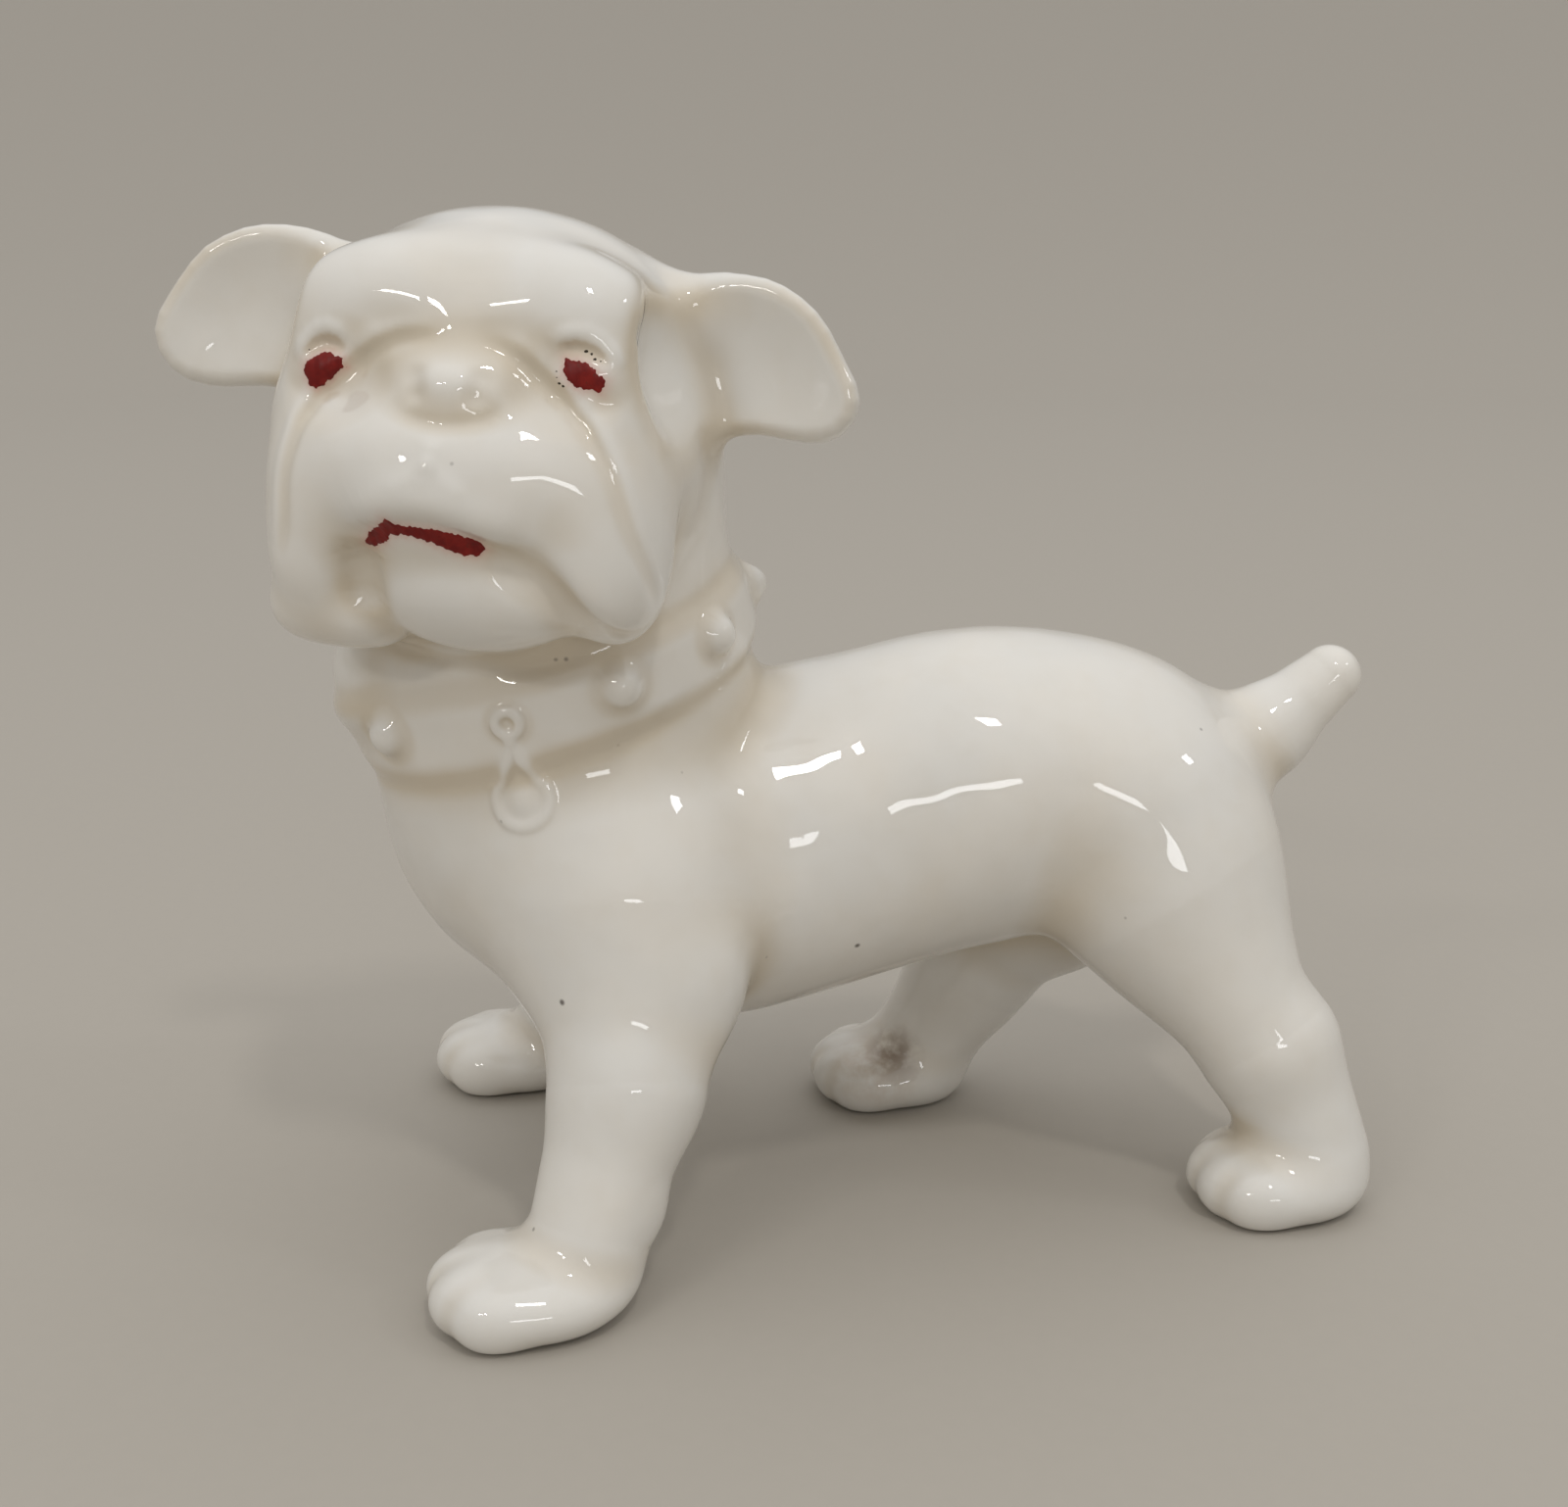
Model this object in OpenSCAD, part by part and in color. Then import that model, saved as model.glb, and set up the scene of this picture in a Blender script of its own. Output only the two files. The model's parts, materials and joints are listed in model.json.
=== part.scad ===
// Standing bulldog figurine in white glazed porcelain, about as tall as a thumb is long.
// It is put together as such figures are: torso, neck and head are pressed, the ears, legs, tail,
// collar, studs, ring and tag are luted on, and the red colour is brushed on last. Nothing opens
// or shows through, so the pieces are solid inside.
// Millimetres. The dog faces -Y, its left side is +X, and it stands on Z = 0 at its middle.
//
// Each soft form is a field: a list of egg shaped lumps that melt into each other, as lumps of
// clay do under a thumb. A skin is a closed net of points found on the surface of such a field.

/* [Torso] */
// Width of the rib cage
torso_w = 27.2; // [25:0.2:29]
// Length of the torso, from breast to rump
torso_l = 72; // [69:0.5:75]
// Height of the back above the table
back_h = 44; // [42.5:0.5:46]

/* [Neck] */
// Width of the neck, from side to side
neck_w = 24.4; // [23:0.2:26]
// Depth of the neck, from throat to nape
neck_l = 29.8; // [28:0.2:31]
// Thickness of the folds of skin on the throat
wrinkle_d = 2.6; // [2:0.1:3.2]

/* [Collar] */
// Width of the collar's strap
strap_w = 5.8; // [5:0.1:6.6]
// How far the strap stands out from the neck
strap_t = 0.9; // [0.6:0.05:1.2]
// How steeply the collar rises from throat to nape, in degrees
strap_rise = 17.2; // [14:0.2:20]
// How much the collar drops towards the dog's left, in degrees
strap_drop = 8.5; // [5:0.5:11]
// Diameter of a stud on the collar
stud_d = 2.8; // [2.2:0.1:3.2]
// How far a stud stands out from the strap
stud_h = 1.2; // [0.8:0.1:1.5]
// Number of even places round the strap. The tag hangs at one, and studs fill the others.
strap_places = 9; // [7:1:11]

/* [Tag] */
// Outer diameter of the ring that the tag hangs from
ring_d = 2.8; // [2.4:0.1:3.2]
// Thickness of the ring's round wire
ring_wire = 0.8; // [0.6:0.05:1]
// Width of the drop shaped tag at its round foot
tag_d = 4.6; // [4:0.1:5.2]
// Length of the tag
tag_l = 7; // [6.2:0.1:7.8]
// Thickness of the tag
tag_t = 1.3; // [1:0.05:1.6]
// Thickness of the bead round the tag's edge
tag_bead = 0.7; // [0.5:0.05:0.9]

/* [Head] */
// Width of the skull
head_w = 28; // [27:0.2:29.6]
// Length of the skull
head_l = 25.2; // [24:0.2:26.4]
// Height of the skull
head_h = 22; // [21:0.2:23]
// Height of the skull's middle above the table
head_z = 63.5; // [62.5:0.5:64.5]
// How far the middle of the skull lies ahead of the middle of the torso
head_fwd = 22; // [21:0.5:23]
// How far the middle of the skull leans to the dog's left
head_aside = 10; // [9:0.5:11]
// How far the head is turned to the dog's left, in degrees
head_turn = 72; // [60:1:80]
// How far the nose is lifted, in degrees
head_lift = 2; // [-2:0.5:6]
// How far the head tips to the dog's left, in degrees
head_tip = 3.7; // [0:0.1:8]
// Thickness of the folds of skin on the face
fold_d = 1.5; // [1.2:0.1:2]

/* [Ears] */
// Reach of an ear from its root to its tip
ear_l = 13.2; // [12.4:0.1:14]
// Width of an ear at its root
ear_w = 8.6; // [8:0.1:9.4]
// Thickness of an ear at its rolled rim
ear_t = 2.6; // [2.2:0.1:3]
// How much higher the right ear is carried than the left one, in degrees
right_ear_lift = 6; // [0:0.5:12]

/* [Legs] */
// Distance between the middles of the front paws
front_track = 42.4; // [40:0.2:45]
// Distance between the middles of the hind paws
hind_track = 25.6; // [24:0.2:28]
// How far the front paws stand ahead of the middle of the torso
front_stand = 21; // [20:0.2:22.5]
// How far the hind left paw is stretched out behind the middle of the torso
hind_left_stand = 36.8; // [35:0.2:38]
// How far the hind right paw stands behind the middle of the torso, in mid stride
hind_right_stand = 11; // [9.5:0.5:14]
// Thickness of a leg above the paw
leg_d = 9.6; // [8.8:0.1:10.4]
// Width of a paw
paw_w = 12.2; // [11.4:0.1:13]
// Length of a paw
paw_l = 14.8; // [13.8:0.1:15.8]
// Height of a paw
paw_h = 6.5; // [6:0.1:7]

/* [Tail] */
// Length of the tail
tail_l = 11.5; // [10:0.1:13]
// Thickness of the tail at its root
tail_root_d = 8.2; // [7.4:0.1:9]
// Thickness of the tail at its tip
tail_tip_d = 4.6; // [4:0.1:5.2]
// How steeply the tail is carried, in degrees
tail_rise = 42; // [34:1:50]

/* [Colour] */
// Length of an eye's paint
eye_l = 3.0; // [2.4:0.1:3.4]
// Height of an eye's paint
eye_h = 2.4; // [2:0.1:2.7]
// Length of the mouth's brush stroke
mouth_l = 8; // [7.2:0.1:8.8]
// Width of the mouth's brush stroke
mouth_h = 1.3; // [1.1:0.05:1.5]
// Thickness of the paint
paint_t = 0.35; // [0.3:0.01:0.45]

/* [Hidden] */

glaze = [0.89, 0.87, 0.82];
red = [0.43, 0.1, 0.09];
// Facets of the small balls that folds, toes and beads are drawn with
ball_fn = 10;

torso_size = [torso_w, torso_l, back_h];
head_size = [head_w, head_l, head_h];
neck_size = [neck_w, neck_l, back_h];
// The footprint of the whole figure is centred on the origin by this share of the torso's length
centre_share = -0.0133;

// Field of lumps

// Two distances melted together over the width k
function soft(a, b, k) = let (h = max(k - abs(a - b), 0) / k) min(a, b) - h * h * k / 4;

// Distance from p to the skin of one egg shaped lump, less than zero inside it
function egg_gap(p, m) =
    let (
        q = m[2] * (p - m[0]),
        a = [q.x / m[1].x, q.y / m[1].y, q.z / m[1].z],
        b = [a.x / m[1].x, a.y / m[1].y, a.z / m[1].z],
        k = norm(a)
    )
    k == 0 ? -min(m[1]) : k * (k - 1) / norm(b);

// Distance from p to the skin of a limb that tapers between two round ends
function limb_gap(p, m) =
    let (
        run = m[1] - m[0],
        along = max(0, min(1, (p - m[0]) * run / (run * run)))
    )
    norm(p - m[0] - along * run) - m[2][0] - along * (m[2][1] - m[2][0]);

// Distance from p to the skin of a whole field. A lump is [kind, data, blend width].
function gap(p, field, i, g) =
    i == len(field) ? g :
    let (
        m = field[i],
        own = m[0] == "limb" ? limb_gap(p, m[1]) : egg_gap(p, m[1])
    )
    gap(p, field, i + 1, i == 0 ? own : m[0] == "press" ? -soft(-g, own, m[2]) : soft(g, own, m[2]));

// Distance from a, along the unit direction d, to the outermost skin of a field, found from outside.
// Each step follows the slope between the last two points, held between a level and a steep one.
slant_shares = [0.8, 3];
function reach(a, d, field, t0, g0, t1, tries = 7) =
    let (
        g1 = gap(a + t1 * d, field, 0, 0),
        slant = g1 == g0 ? slant_shares[0] : (t1 - t0) / (g1 - g0)
    )
    tries == 0 ? t1 :
    reach(a, d, field, t1, g1, t1 - g1 * max(slant_shares[0], min(slant_shares[1], slant)), tries - 1);

function skin_at(a, d, field, far) =
    let (g = gap(a + far * d, field, 0, 0))
    a + reach(a, d, field, far, g, far - g) * d;

function turn_x(a) = [[1, 0, 0], [0, cos(a), sin(a)], [0, -sin(a), cos(a)]];
function turn_y(a) = [[cos(a), 0, -sin(a)], [0, 1, 0], [sin(a), 0, cos(a)]];
function times(a, b) = [a.x * b.x, a.y * b.y, a.z * b.z];
function unit(v) = v / norm(v);
function mean(list, i = 0, sum = [0, 0, 0]) =
    i == len(list) ? sum / len(list) : mean(list, i + 1, sum + list[i]);

// A lump from a row of shares: its middle, its half sizes, its blend, its pitch and its roll
function lump(kind, row, size, blend, side = 1) =
    [kind, [times([side * row[0].x, row[0].y, row[0].z], size), times(row[1], size),
        turn_y(side * row[4]) * turn_x(row[3])], row[2] * blend];
function limb(a, b, ra, rb, blend) = ["limb", [a, b, [ra, rb]], blend];

// A closed skin over rings of points. Each ring has as many points, and both ends close on their middle.
module skin(rings, first_pole, last_pole) {
    n = len(rings[0]);
    m = len(rings);
    points = concat([for (ring = rings) each ring], [first_pole, last_pole]);
    sides = [for (j = [0 : m - 2], i = [0 : n - 1], half = [0, 1])
        let (a = j * n + i, b = j * n + (i + 1) % n)
        half == 0 ? [a, b + n, b] : [a, a + n, b + n]];
    ends = [for (i = [0 : n - 1], half = [0, 1])
        half == 0 ? [i, (i + 1) % n, m * n] :
        [(m - 1) * n + (i + 1) % n, (m - 1) * n + i, m * n + 1]];
    polyhedron(points, concat(sides, ends), convexity = 8);
}

// The solid between two flat outlines that have no hollow side
module span(a, b) {
    n = len(a);
    hull() polyhedron(concat(a, b), [[for (i = [0 : n - 1]) i], [for (i = [n - 1 : -1 : 0]) n + i]]);
}

// A rolled edge of clay along a row of points, each on the skin, sunk by a share of its thickness
module roll(points, inwards, d, sunk_share) {
    for (i = [0 : len(points) - 2]) hull() {
        translate(points[i] + sunk_share * d * inwards[i]) sphere(d = d, $fn = ball_fn);
        translate(points[i + 1] + sunk_share * d * inwards[i + 1]) sphere(d = d, $fn = ball_fn);
    }
}

// Torso

torso_rings = 20;
torso_spokes = 28;
torso_blend = 0.22 * torso_w;
torso_lump_shares = [
    [[0, -0.111, 0.641], [0.5, 0.278, 0.309], 1, 0, 0],          // brisket
    [[0.018, -0.264, 0.773], [0.478, 0.174, 0.273], 1, 0, 0],    // withers
    [[0, 0.194, 0.757], [0.412, 0.25, 0.245], 1, 0, 0],          // loin
    [[0, 0.389, 0.695], [0.423, 0.153, 0.209], 0.85, -25, 0],    // rump
    [[0.35, -0.2, 0.625], [0.294, 0.125, 0.25], 0.85, 0, 0],     // left shoulder
    [[-0.35, -0.2, 0.625], [0.294, 0.125, 0.25], 0.85, 0, 0],    // right shoulder
    [[0.243, 0.41, 0.568], [0.22, 0.114, 0.239], 0.85, 30, 0],   // left haunch
    [[-0.239, 0.361, 0.557], [0.22, 0.114, 0.239], 0.85, -10, 0]]; // right haunch
torso_field = [for (row = torso_lump_shares) lump("egg", row, torso_size, torso_blend)];
torso_middle = [0, 0, 0.7 * back_h];
breast_tip = skin_at(torso_middle, unit([0, -1, 0.1]), torso_field, torso_l);
rump_tip = skin_at(torso_middle, [0, 1, 0], torso_field, torso_l);

function torso_ring(share) =
    let (a = breast_tip + share * (rump_tip - breast_tip))
    [for (i = [0 : torso_spokes - 1])
        let (turn = 360 * i / torso_spokes)
        skin_at(a, [sin(turn), 0, cos(turn)], torso_field, torso_w)];

module torso_form() {
    rings = [for (j = [1 : torso_rings]) torso_ring((1 - cos(180 * j / (torso_rings + 1))) / 2)];
    skin(rings, breast_tip, rump_tip);
}

module torso() {
    color(glaze) torso_form();
}

// Head. Its lumps are shares of the head's sizes in the head's own frame, which faces -Y.
// A lump that lies off the middle stands for a pair.

head_rings = 24;
head_spokes = 34;
head_at = [head_aside, -head_fwd, head_z];
head_blend = 0.14 * head_w;
head_lump_shares = [
    [[0, 0.099, 0.1], [0.5, 0.5, 0.5], 1, 0, 0],                     // skull
    [[0, 0.079, -0.182], [0.45, 0.42, 0.41], 1, 0, 0],               // jaw
    [[0.336, -0.119, -0.027], [0.164, 0.262, 0.345], 1, 0, 0],       // cheeks
    [[0, -0.302, -0.2], [0.414, 0.27, 0.286], 0.9, 0, 0],            // muzzle
    [[0.329, -0.246, -0.409], [0.154, 0.218, 0.314], 0.85, 0, 2],    // flews
    [[0, -0.353, -0.491], [0.264, 0.21, 0.209], 0.4, 0, 0],          // chin
    [[0, -0.397, 0.077], [0.129, 0.119, 0.1], 0.4, 0, 0],            // nose
    [[0.2, -0.262, 0.282], [0.179, 0.111, 0.136], 1, 0, 0]];         // brows
socket_shares = [[0.304, -0.484, 0.1], [0.1, 0.095, 0.095], 0.4, 0, 0];
eye_shares = [[0.304, -0.345, 0.1], [0.082, 0.06, 0.066], 0.13, 0, 0];
nostril_shares = [[0.075, -0.535, 0.085], [0.03, 0.035, 0.028], 0.15, 0, 0];

function pairs(kind, rows) =
    [for (row = rows, side = row[0].x == 0 ? [1] : [-1, 1]) lump(kind, row, head_size, head_blend, side)];
head_field = concat(pairs("egg", head_lump_shares), pairs("press", [socket_shares]),
    pairs("egg", [eye_shares]), pairs("press", [nostril_shares]));

module on_head() {
    translate(head_at) rotate([0, 0, head_turn]) rotate([-head_lift, 0, 0]) rotate([0, head_tip, 0])
        children();
}

// The face lies round the first pole, so that its rings are closest there
function head_ring(off) = [for (i = [0 : head_spokes - 1])
    let (turn = 360 * i / head_spokes)
    skin_at([0, 0, 0], [sin(off) * sin(turn), -cos(off), sin(off) * cos(turn)], head_field, head_w)];

module head_skin() {
    rings = [for (j = [1 : head_rings])
        let (s = j / (head_rings + 1))
        head_ring(180 * s * (0.75 + 0.25 * s))];
    skin(rings, skin_at([0, 0, 0], [0, -1, 0], head_field, head_w),
        skin_at([0, 0, 0], [0, 1, 0], head_field, head_w));
}

// A point of the face at so many degrees towards the dog's left and up, seen from the skull's middle
function face_point(left, up) =
    skin_at([0, 0, 0], [sin(left) * cos(up), -cos(left) * cos(up), sin(up)], head_field, head_w);
// A point of the face at one place across and one height, seen from straight ahead
function face_front(across, up) = skin_at([across, 0, up], [0, -1, 0], head_field, head_l);

// Folds of the face, as degrees towards one side and degrees up
muzzle_fold_degrees = [[12, 21], [28, 14], [39, 2], [42, -8], [44, -18], [48, -28], [60, -40]];
cheek_fold_degrees = [[87, -2], [100, -14], [101, -25], [97, -34], [91, -46]];
fold_sunk_share = 0.38;
module fold(degrees, side) {
    points = [for (d = degrees) face_point(side * d[0], d[1])];
    roll(points, [for (p = points) -unit(p)], fold_d, fold_sunk_share);
}

module head_form() {
    head_skin();
    for (side = [-1, 1]) {
        fold(muzzle_fold_degrees, side);
        fold(cheek_fold_degrees, side);
    }
}

module head() {
    color(glaze) on_head() head_form();
}

// Neck

neck_rings = 9;
neck_spokes = 24;
neck_blend = 0.3 * neck_w;
neck_lump_shares = [
    [[0.061, -0.631, 1], [0.5, 0.5, 0.295], 1, 0, 0],
    [[0.14, -0.585, 1.16], [0.475, 0.403, 0.33], 1, 0, 0]];
// The top of the neck lies under the skull, at shares of the head's sizes from the skull's middle
nape_at = head_at + times([-0.148, 0.187, -0.186], head_size);
nape_half = [0.45 * neck_w, 0.384 * neck_l, 0.52 * head_h];
neck_field = concat([for (row = neck_lump_shares) lump("egg", row, neck_size, neck_blend)],
    [["egg", [nape_at, nape_half, turn_x(0)], neck_blend]]);
neck_low = times([0.06, -0.62, 0.8], neck_size);
neck_high = nape_at + [0, 0, 0.3 * head_h];
neck_top = skin_at(neck_high, [0, 0, 1], neck_field, neck_w);

module neck_skin() {
    rings = [for (j = [0 : neck_rings])
        let (s = sin(90 * j / (neck_rings + 1)), a = neck_low + s * (neck_top - neck_low))
        [for (i = [0 : neck_spokes - 1])
            let (turn = 360 * i / neck_spokes)
            skin_at(a, [cos(turn), sin(turn), 0], neck_field, neck_w)]];
    skin(rings, neck_low, neck_top);
}

// Folds of loose skin hang between the jaw and the collar
wrinkle_turns = [-120, -100, -80, -60, -40, -20, 0];
wrinkle_height_shares = [1.03, 1.1];
wrinkle_sunk_share = 0.3;
module wrinkle(height_share) {
    middle = [neck_low.x, neck_low.y, height_share * back_h];
    outwards = [for (turn = wrinkle_turns) [cos(turn), sin(turn), 0]];
    points = [for (out = outwards) skin_at(middle, out, neck_field, neck_w)];
    roll(points, -outwards, wrinkle_d, wrinkle_sunk_share);
}

module neck_form() {
    neck_skin();
    for (share = wrinkle_height_shares) wrinkle(share);
}

module neck() {
    color(glaze) difference() {
        neck_form();
        torso_form();
        on_head() head_form();
    }
}

// Ears, in the head's frame, drawn for the dog's left side

ear_spokes = 16;
ear_spans = 12;
ear_size = [ear_l, ear_t, ear_w];
ear_root = times([0.4, 0.16, -0.02], head_size);
// Corners of the arcs along an ear's upper and lower edge, as shares of its reach, thickness and width
ear_top_shares = [[-0.2, 0, 0.86], [0.45, -0.6, 1.36], [0.8, -1.1, 1.02], [0.98, -1.5, 0.16]];
ear_low_shares = [[-0.04, 0, -0.06], [0.3, -0.5, -0.06], [0.6, -0.9, -0.16], [0.9, -1.5, -0.1]];
ear_cup = 0.24 * ear_w;
ear_rounding = 0.12;

// A point on the arc that runs from the first corner to the last and is drawn towards the others
function arc_point(c, s) =
    (1 - s) ^ 3 * c[0] + 3 * s * (1 - s) ^ 2 * c[1] + 3 * s ^ 2 * (1 - s) * c[2] + s ^ 3 * c[3];

function ear_ring(s) =
    let (
        top = arc_point([for (c = ear_top_shares) times(c, ear_size)], s),
        low = arc_point([for (c = ear_low_shares) times(c, ear_size)], s),
        end = max(0, (s - 1 + ear_rounding) / ear_rounding),
        round_off = sqrt(max(0.04, 1 - end * end)),
        out = unit(cross(top - low, [ear_l, -1.5 * ear_t, 0]))
    )
    [for (i = [0 : ear_spokes - 1])
        let (
            c = cos(360 * i / ear_spokes),
            rim = ear_t / 2 * (0.5 + 0.5 * c * c) * round_off,
            lift = -rim * sin(360 * i / ear_spokes) + ear_cup * (c * c - 1) * sin(180 * s)
        )
        (top + low) / 2 + c * round_off / 2 * (top - low) + lift * out];

module ear_form() {
    rings = [for (j = [0 : ear_spans]) ear_ring(sin(90 * j / ear_spans))];
    translate(ear_root) skin(rings, mean(rings[0]), mean(rings[ear_spans]));
}

module ear(lift) {
    translate(ear_root) rotate([0, -lift, 0]) translate(-ear_root) ear_form();
}
module left_ear() {
    color(glaze) difference() {
        on_head() ear(0);
        on_head() head_form();
        neck_form();
    }
}
module right_ear() {
    color(glaze) difference() {
        on_head() mirror([1, 0, 0]) ear(right_ear_lift);
        on_head() head_form();
        neck_form();
    }
}

// Legs

leg_rings = 15;
leg_spokes = 20;
toe_d = 0.3 * paw_w;
pad_d = 0.22 * paw_w;
cleft_d = 0.07 * paw_w;
paw_blend = 0.2 * paw_w;

// A leg's field: thigh, shank and paw
function leg_field(top, bend, ankle, paw, top_d) = [
    limb(top, bend, top_d / 2, 0.54 * leg_d, paw_blend),
    limb(bend, ankle, 0.54 * leg_d, 0.46 * leg_d, paw_blend),
    ["egg", [paw, [paw_w / 2, paw_l / 2, 0.6 * paw_h], turn_x(0)], paw_blend]];

// The middle of a leg at height z
function leg_middle(top, bend, ankle, paw, z) =
    z > top.z ? top :
    z > bend.z ? bend + (z - bend.z) / (top.z - bend.z) * (top - bend) :
    z > ankle.z ? ankle + (z - ankle.z) / (bend.z - ankle.z) * (bend - ankle) :
    [ankle.x, (ankle.y + paw.y) / 2 + (ankle.y - paw.y) / 2 * (z / ankle.z - 1), z];

module leg_skin(top, bend, ankle, paw, top_d) {
    field = leg_field(top, bend, ankle, paw, top_d);
    rings = [for (j = [0 : leg_rings])
        let (s = j / leg_rings, z = (top.z + 0.45 * top_d) * (0.5 * s + 0.5 * s * s),
            m = leg_middle(top, bend, ankle, paw, z))
        [for (i = [0 : leg_spokes - 1])
            let (turn = 360 * i / leg_spokes)
            skin_at([m.x, m.y, z], [cos(turn), sin(turn), 0], field, paw_l)]];
    skin(rings, mean(rings[0]), top + [0, 0, top_d / 2]);
}

// Four toes side by side at the front of a paw, the clefts between them, and the pad behind the wrist
toe_shares = [-0.36, -0.13, 0.13, 0.36];
cleft_shares = [-0.25, 0, 0.25];
module ball(at, d) {
    translate(at) sphere(d = d, $fn = ball_fn);
}
module toes(paw) {
    for (s = toe_shares) hull() {
        ball(paw + [s * paw_w, -(0.34 - 0.5 * s * s) * paw_l, 0], toe_d);
        ball(paw + [0.8 * s * paw_w, -0.1 * paw_l, 0.12 * paw_h], toe_d);
    }
}
module clefts(paw) {
    for (s = cleft_shares) hull() {
        ball(paw + [s * paw_w, -(0.53 - 0.6 * s * s) * paw_l, 0], cleft_d);
        ball(paw + [s * paw_w, -(0.38 - 0.6 * s * s) * paw_l, 0.62 * paw_h], cleft_d);
    }
}
module wrist_pad(ankle, side) {
    hull() {
        ball(ankle + [side * 0.3 * leg_d, 0.3 * leg_d, 0], pad_d);
        ball(ankle + [side * 0.3 * leg_d, 0.34 * leg_d, 0.14 * leg_d], pad_d);
    }
}

module leg(top, bend, ankle, paw, top_d, side) {
    color(glaze) difference() {
        union() {
            leg_skin(top, bend, ankle, paw, top_d);
            toes(paw);
            wrist_pad(ankle, side);
        }
        clefts(paw);
        torso_form();
        translate([paw.x - paw_l, paw.y - paw_l, -paw_h]) cube([2 * paw_l, 2 * paw_l, paw_h]);
    }
}

front_top_d = 0.54 * torso_w;
module front_leg(side) {
    foot = [side * front_track / 2, -front_stand, 0.4 * paw_h];
    top = times([side * 0.404, -0.194, 0.591], torso_size);
    bend = [side * 0.775 * front_track / 2, -0.67 * front_stand, 0.34 * back_h];
    ankle = [side * 0.94 * front_track / 2, -0.83 * front_stand, 0.85 * paw_h];
    leg(top, bend, ankle, foot, front_top_d, side);
}
module front_left_leg() { front_leg(1); }
module front_right_leg() { front_leg(-1); }

hind_top_d = 0.53 * torso_w;
hind_ankle_h = 0.7 * paw_h;
module hind_left_leg() {
    foot = [hind_track / 2, hind_left_stand, 0.4 * paw_h];
    top = times([0.265, 0.41, 0.545], torso_size);
    bend = [0.88 * hind_track / 2, hind_left_stand - 0.05 * paw_l, 0.3 * back_h];
    ankle = [hind_track / 2, hind_left_stand + 0.19 * paw_l, hind_ankle_h];
    leg(top, bend, ankle, foot, hind_top_d, 1);
}
module hind_right_leg() {
    foot = [-hind_track / 2, hind_right_stand, 0.4 * paw_h];
    top = times([-0.276, 0.347, 0.523], torso_size);
    bend = [-0.86 * hind_track / 2, hind_right_stand + 0.47 * paw_l, 0.27 * back_h];
    ankle = [-0.98 * hind_track / 2, hind_right_stand + 0.17 * paw_l, hind_ankle_h];
    leg(top, bend, ankle, foot, hind_top_d, -1);
}

// Tail

tail_spans = 10;
tail_spokes = 14;
tail_root = times([0, 0.47, 0.75], torso_size);
tail_run = tail_l + 0.5 * tail_root_d;
// How much the tail straightens up towards its tip, in degrees
tail_bend = 12;
// A ring across the tail, at share s of its way from inside the rump to the tip. The last rings
// close in a dome.
function tail_ring(s) =
    let (
        rise = tail_rise - tail_bend * (1 - s),
        at = tail_root + s * tail_run * [0, cos(rise), sin(rise)],
        d = tail_root_d + s * (tail_tip_d - tail_root_d),
        left = (1 - s) * tail_run,
        r = left > d / 2 ? d / 2 : sqrt(d * left - left * left) + 0.02 * d
    )
    [for (i = [0 : tail_spokes - 1])
        let (turn = 360 * i / tail_spokes)
        at + r * [cos(turn), -sin(turn) * sin(rise), sin(turn) * cos(rise)]];

module tail() {
    color(glaze) difference() {
        rings = [for (i = [0 : tail_spans]) tail_ring(sin(90 * i / tail_spans))];
        for (i = [0 : tail_spans - 1]) span(rings[i], rings[i + 1]);
        torso_form();
    }
}

// Collar and studs

strap_spans = 30;
collar_field = concat(neck_field, torso_field);
collar_at = times([0.07, -0.62, 1], neck_size);
collar_up = unit([tan(strap_drop), -tan(strap_rise), 1]);
function round_neck(turn) =
    unit([cos(turn), sin(turn), sin(turn) * tan(strap_rise) - cos(turn) * tan(strap_drop)]);
// Point on the neck at one turn and one height on the strap, as a share of its width
function strap_seat(turn, share) =
    skin_at(collar_at + share * strap_w * collar_up, round_neck(turn), collar_field, neck_l);

// Each edge of the strap rolls over: rows of how far out and how far from the edge, as shares of
// its thickness
strap_edge_shares = [[-2, 0], [0.3, 0], [0.8, 0.4], [1, 1.2]];
function strap_post(turn) =
    let (out = round_neck(turn), low = strap_seat(turn, -0.5), top = strap_seat(turn, 0.5))
    concat(
        [for (e = strap_edge_shares) low + strap_t * (e[0] * out + e[1] * collar_up)],
        [for (i = [3 : -1 : 0])
            let (e = strap_edge_shares[i])
            top + strap_t * (e[0] * out - e[1] * collar_up)]);

module strap_form() {
    posts = [for (i = [0 : strap_spans - 1]) strap_post(360 * i / strap_spans)];
    for (i = [0 : strap_spans - 1]) span(posts[i], posts[(i + 1) % strap_spans]);
}

module collar() {
    color(glaze) difference() {
        strap_form();
        neck_form();
        torso_form();
        on_head() head_form();
    }
}

// The tag hangs below the chin, and the studs take the other places round the strap
tag_turn = -19;
stud_fn = 12;
module stud(turn) {
    out = round_neck(turn);
    seat = strap_seat(turn, 0) + strap_t * out;
    hull() {
        translate(seat - stud_h * out) sphere(d = stud_d, $fn = stud_fn);
        translate(seat + (stud_h - stud_d / 2) * out) sphere(d = stud_d, $fn = stud_fn);
    }
}
module collar_studs() {
    color(glaze) difference() {
        for (i = [1 : strap_places - 1]) stud(tag_turn + 360 * i / strap_places);
        strap_form();
        neck_form();
        torso_form();
        on_head() head_form();
    }
}

// Ring and tag. Their frame runs across, down the chest and outwards from the ring's seat on the strap.

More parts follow.
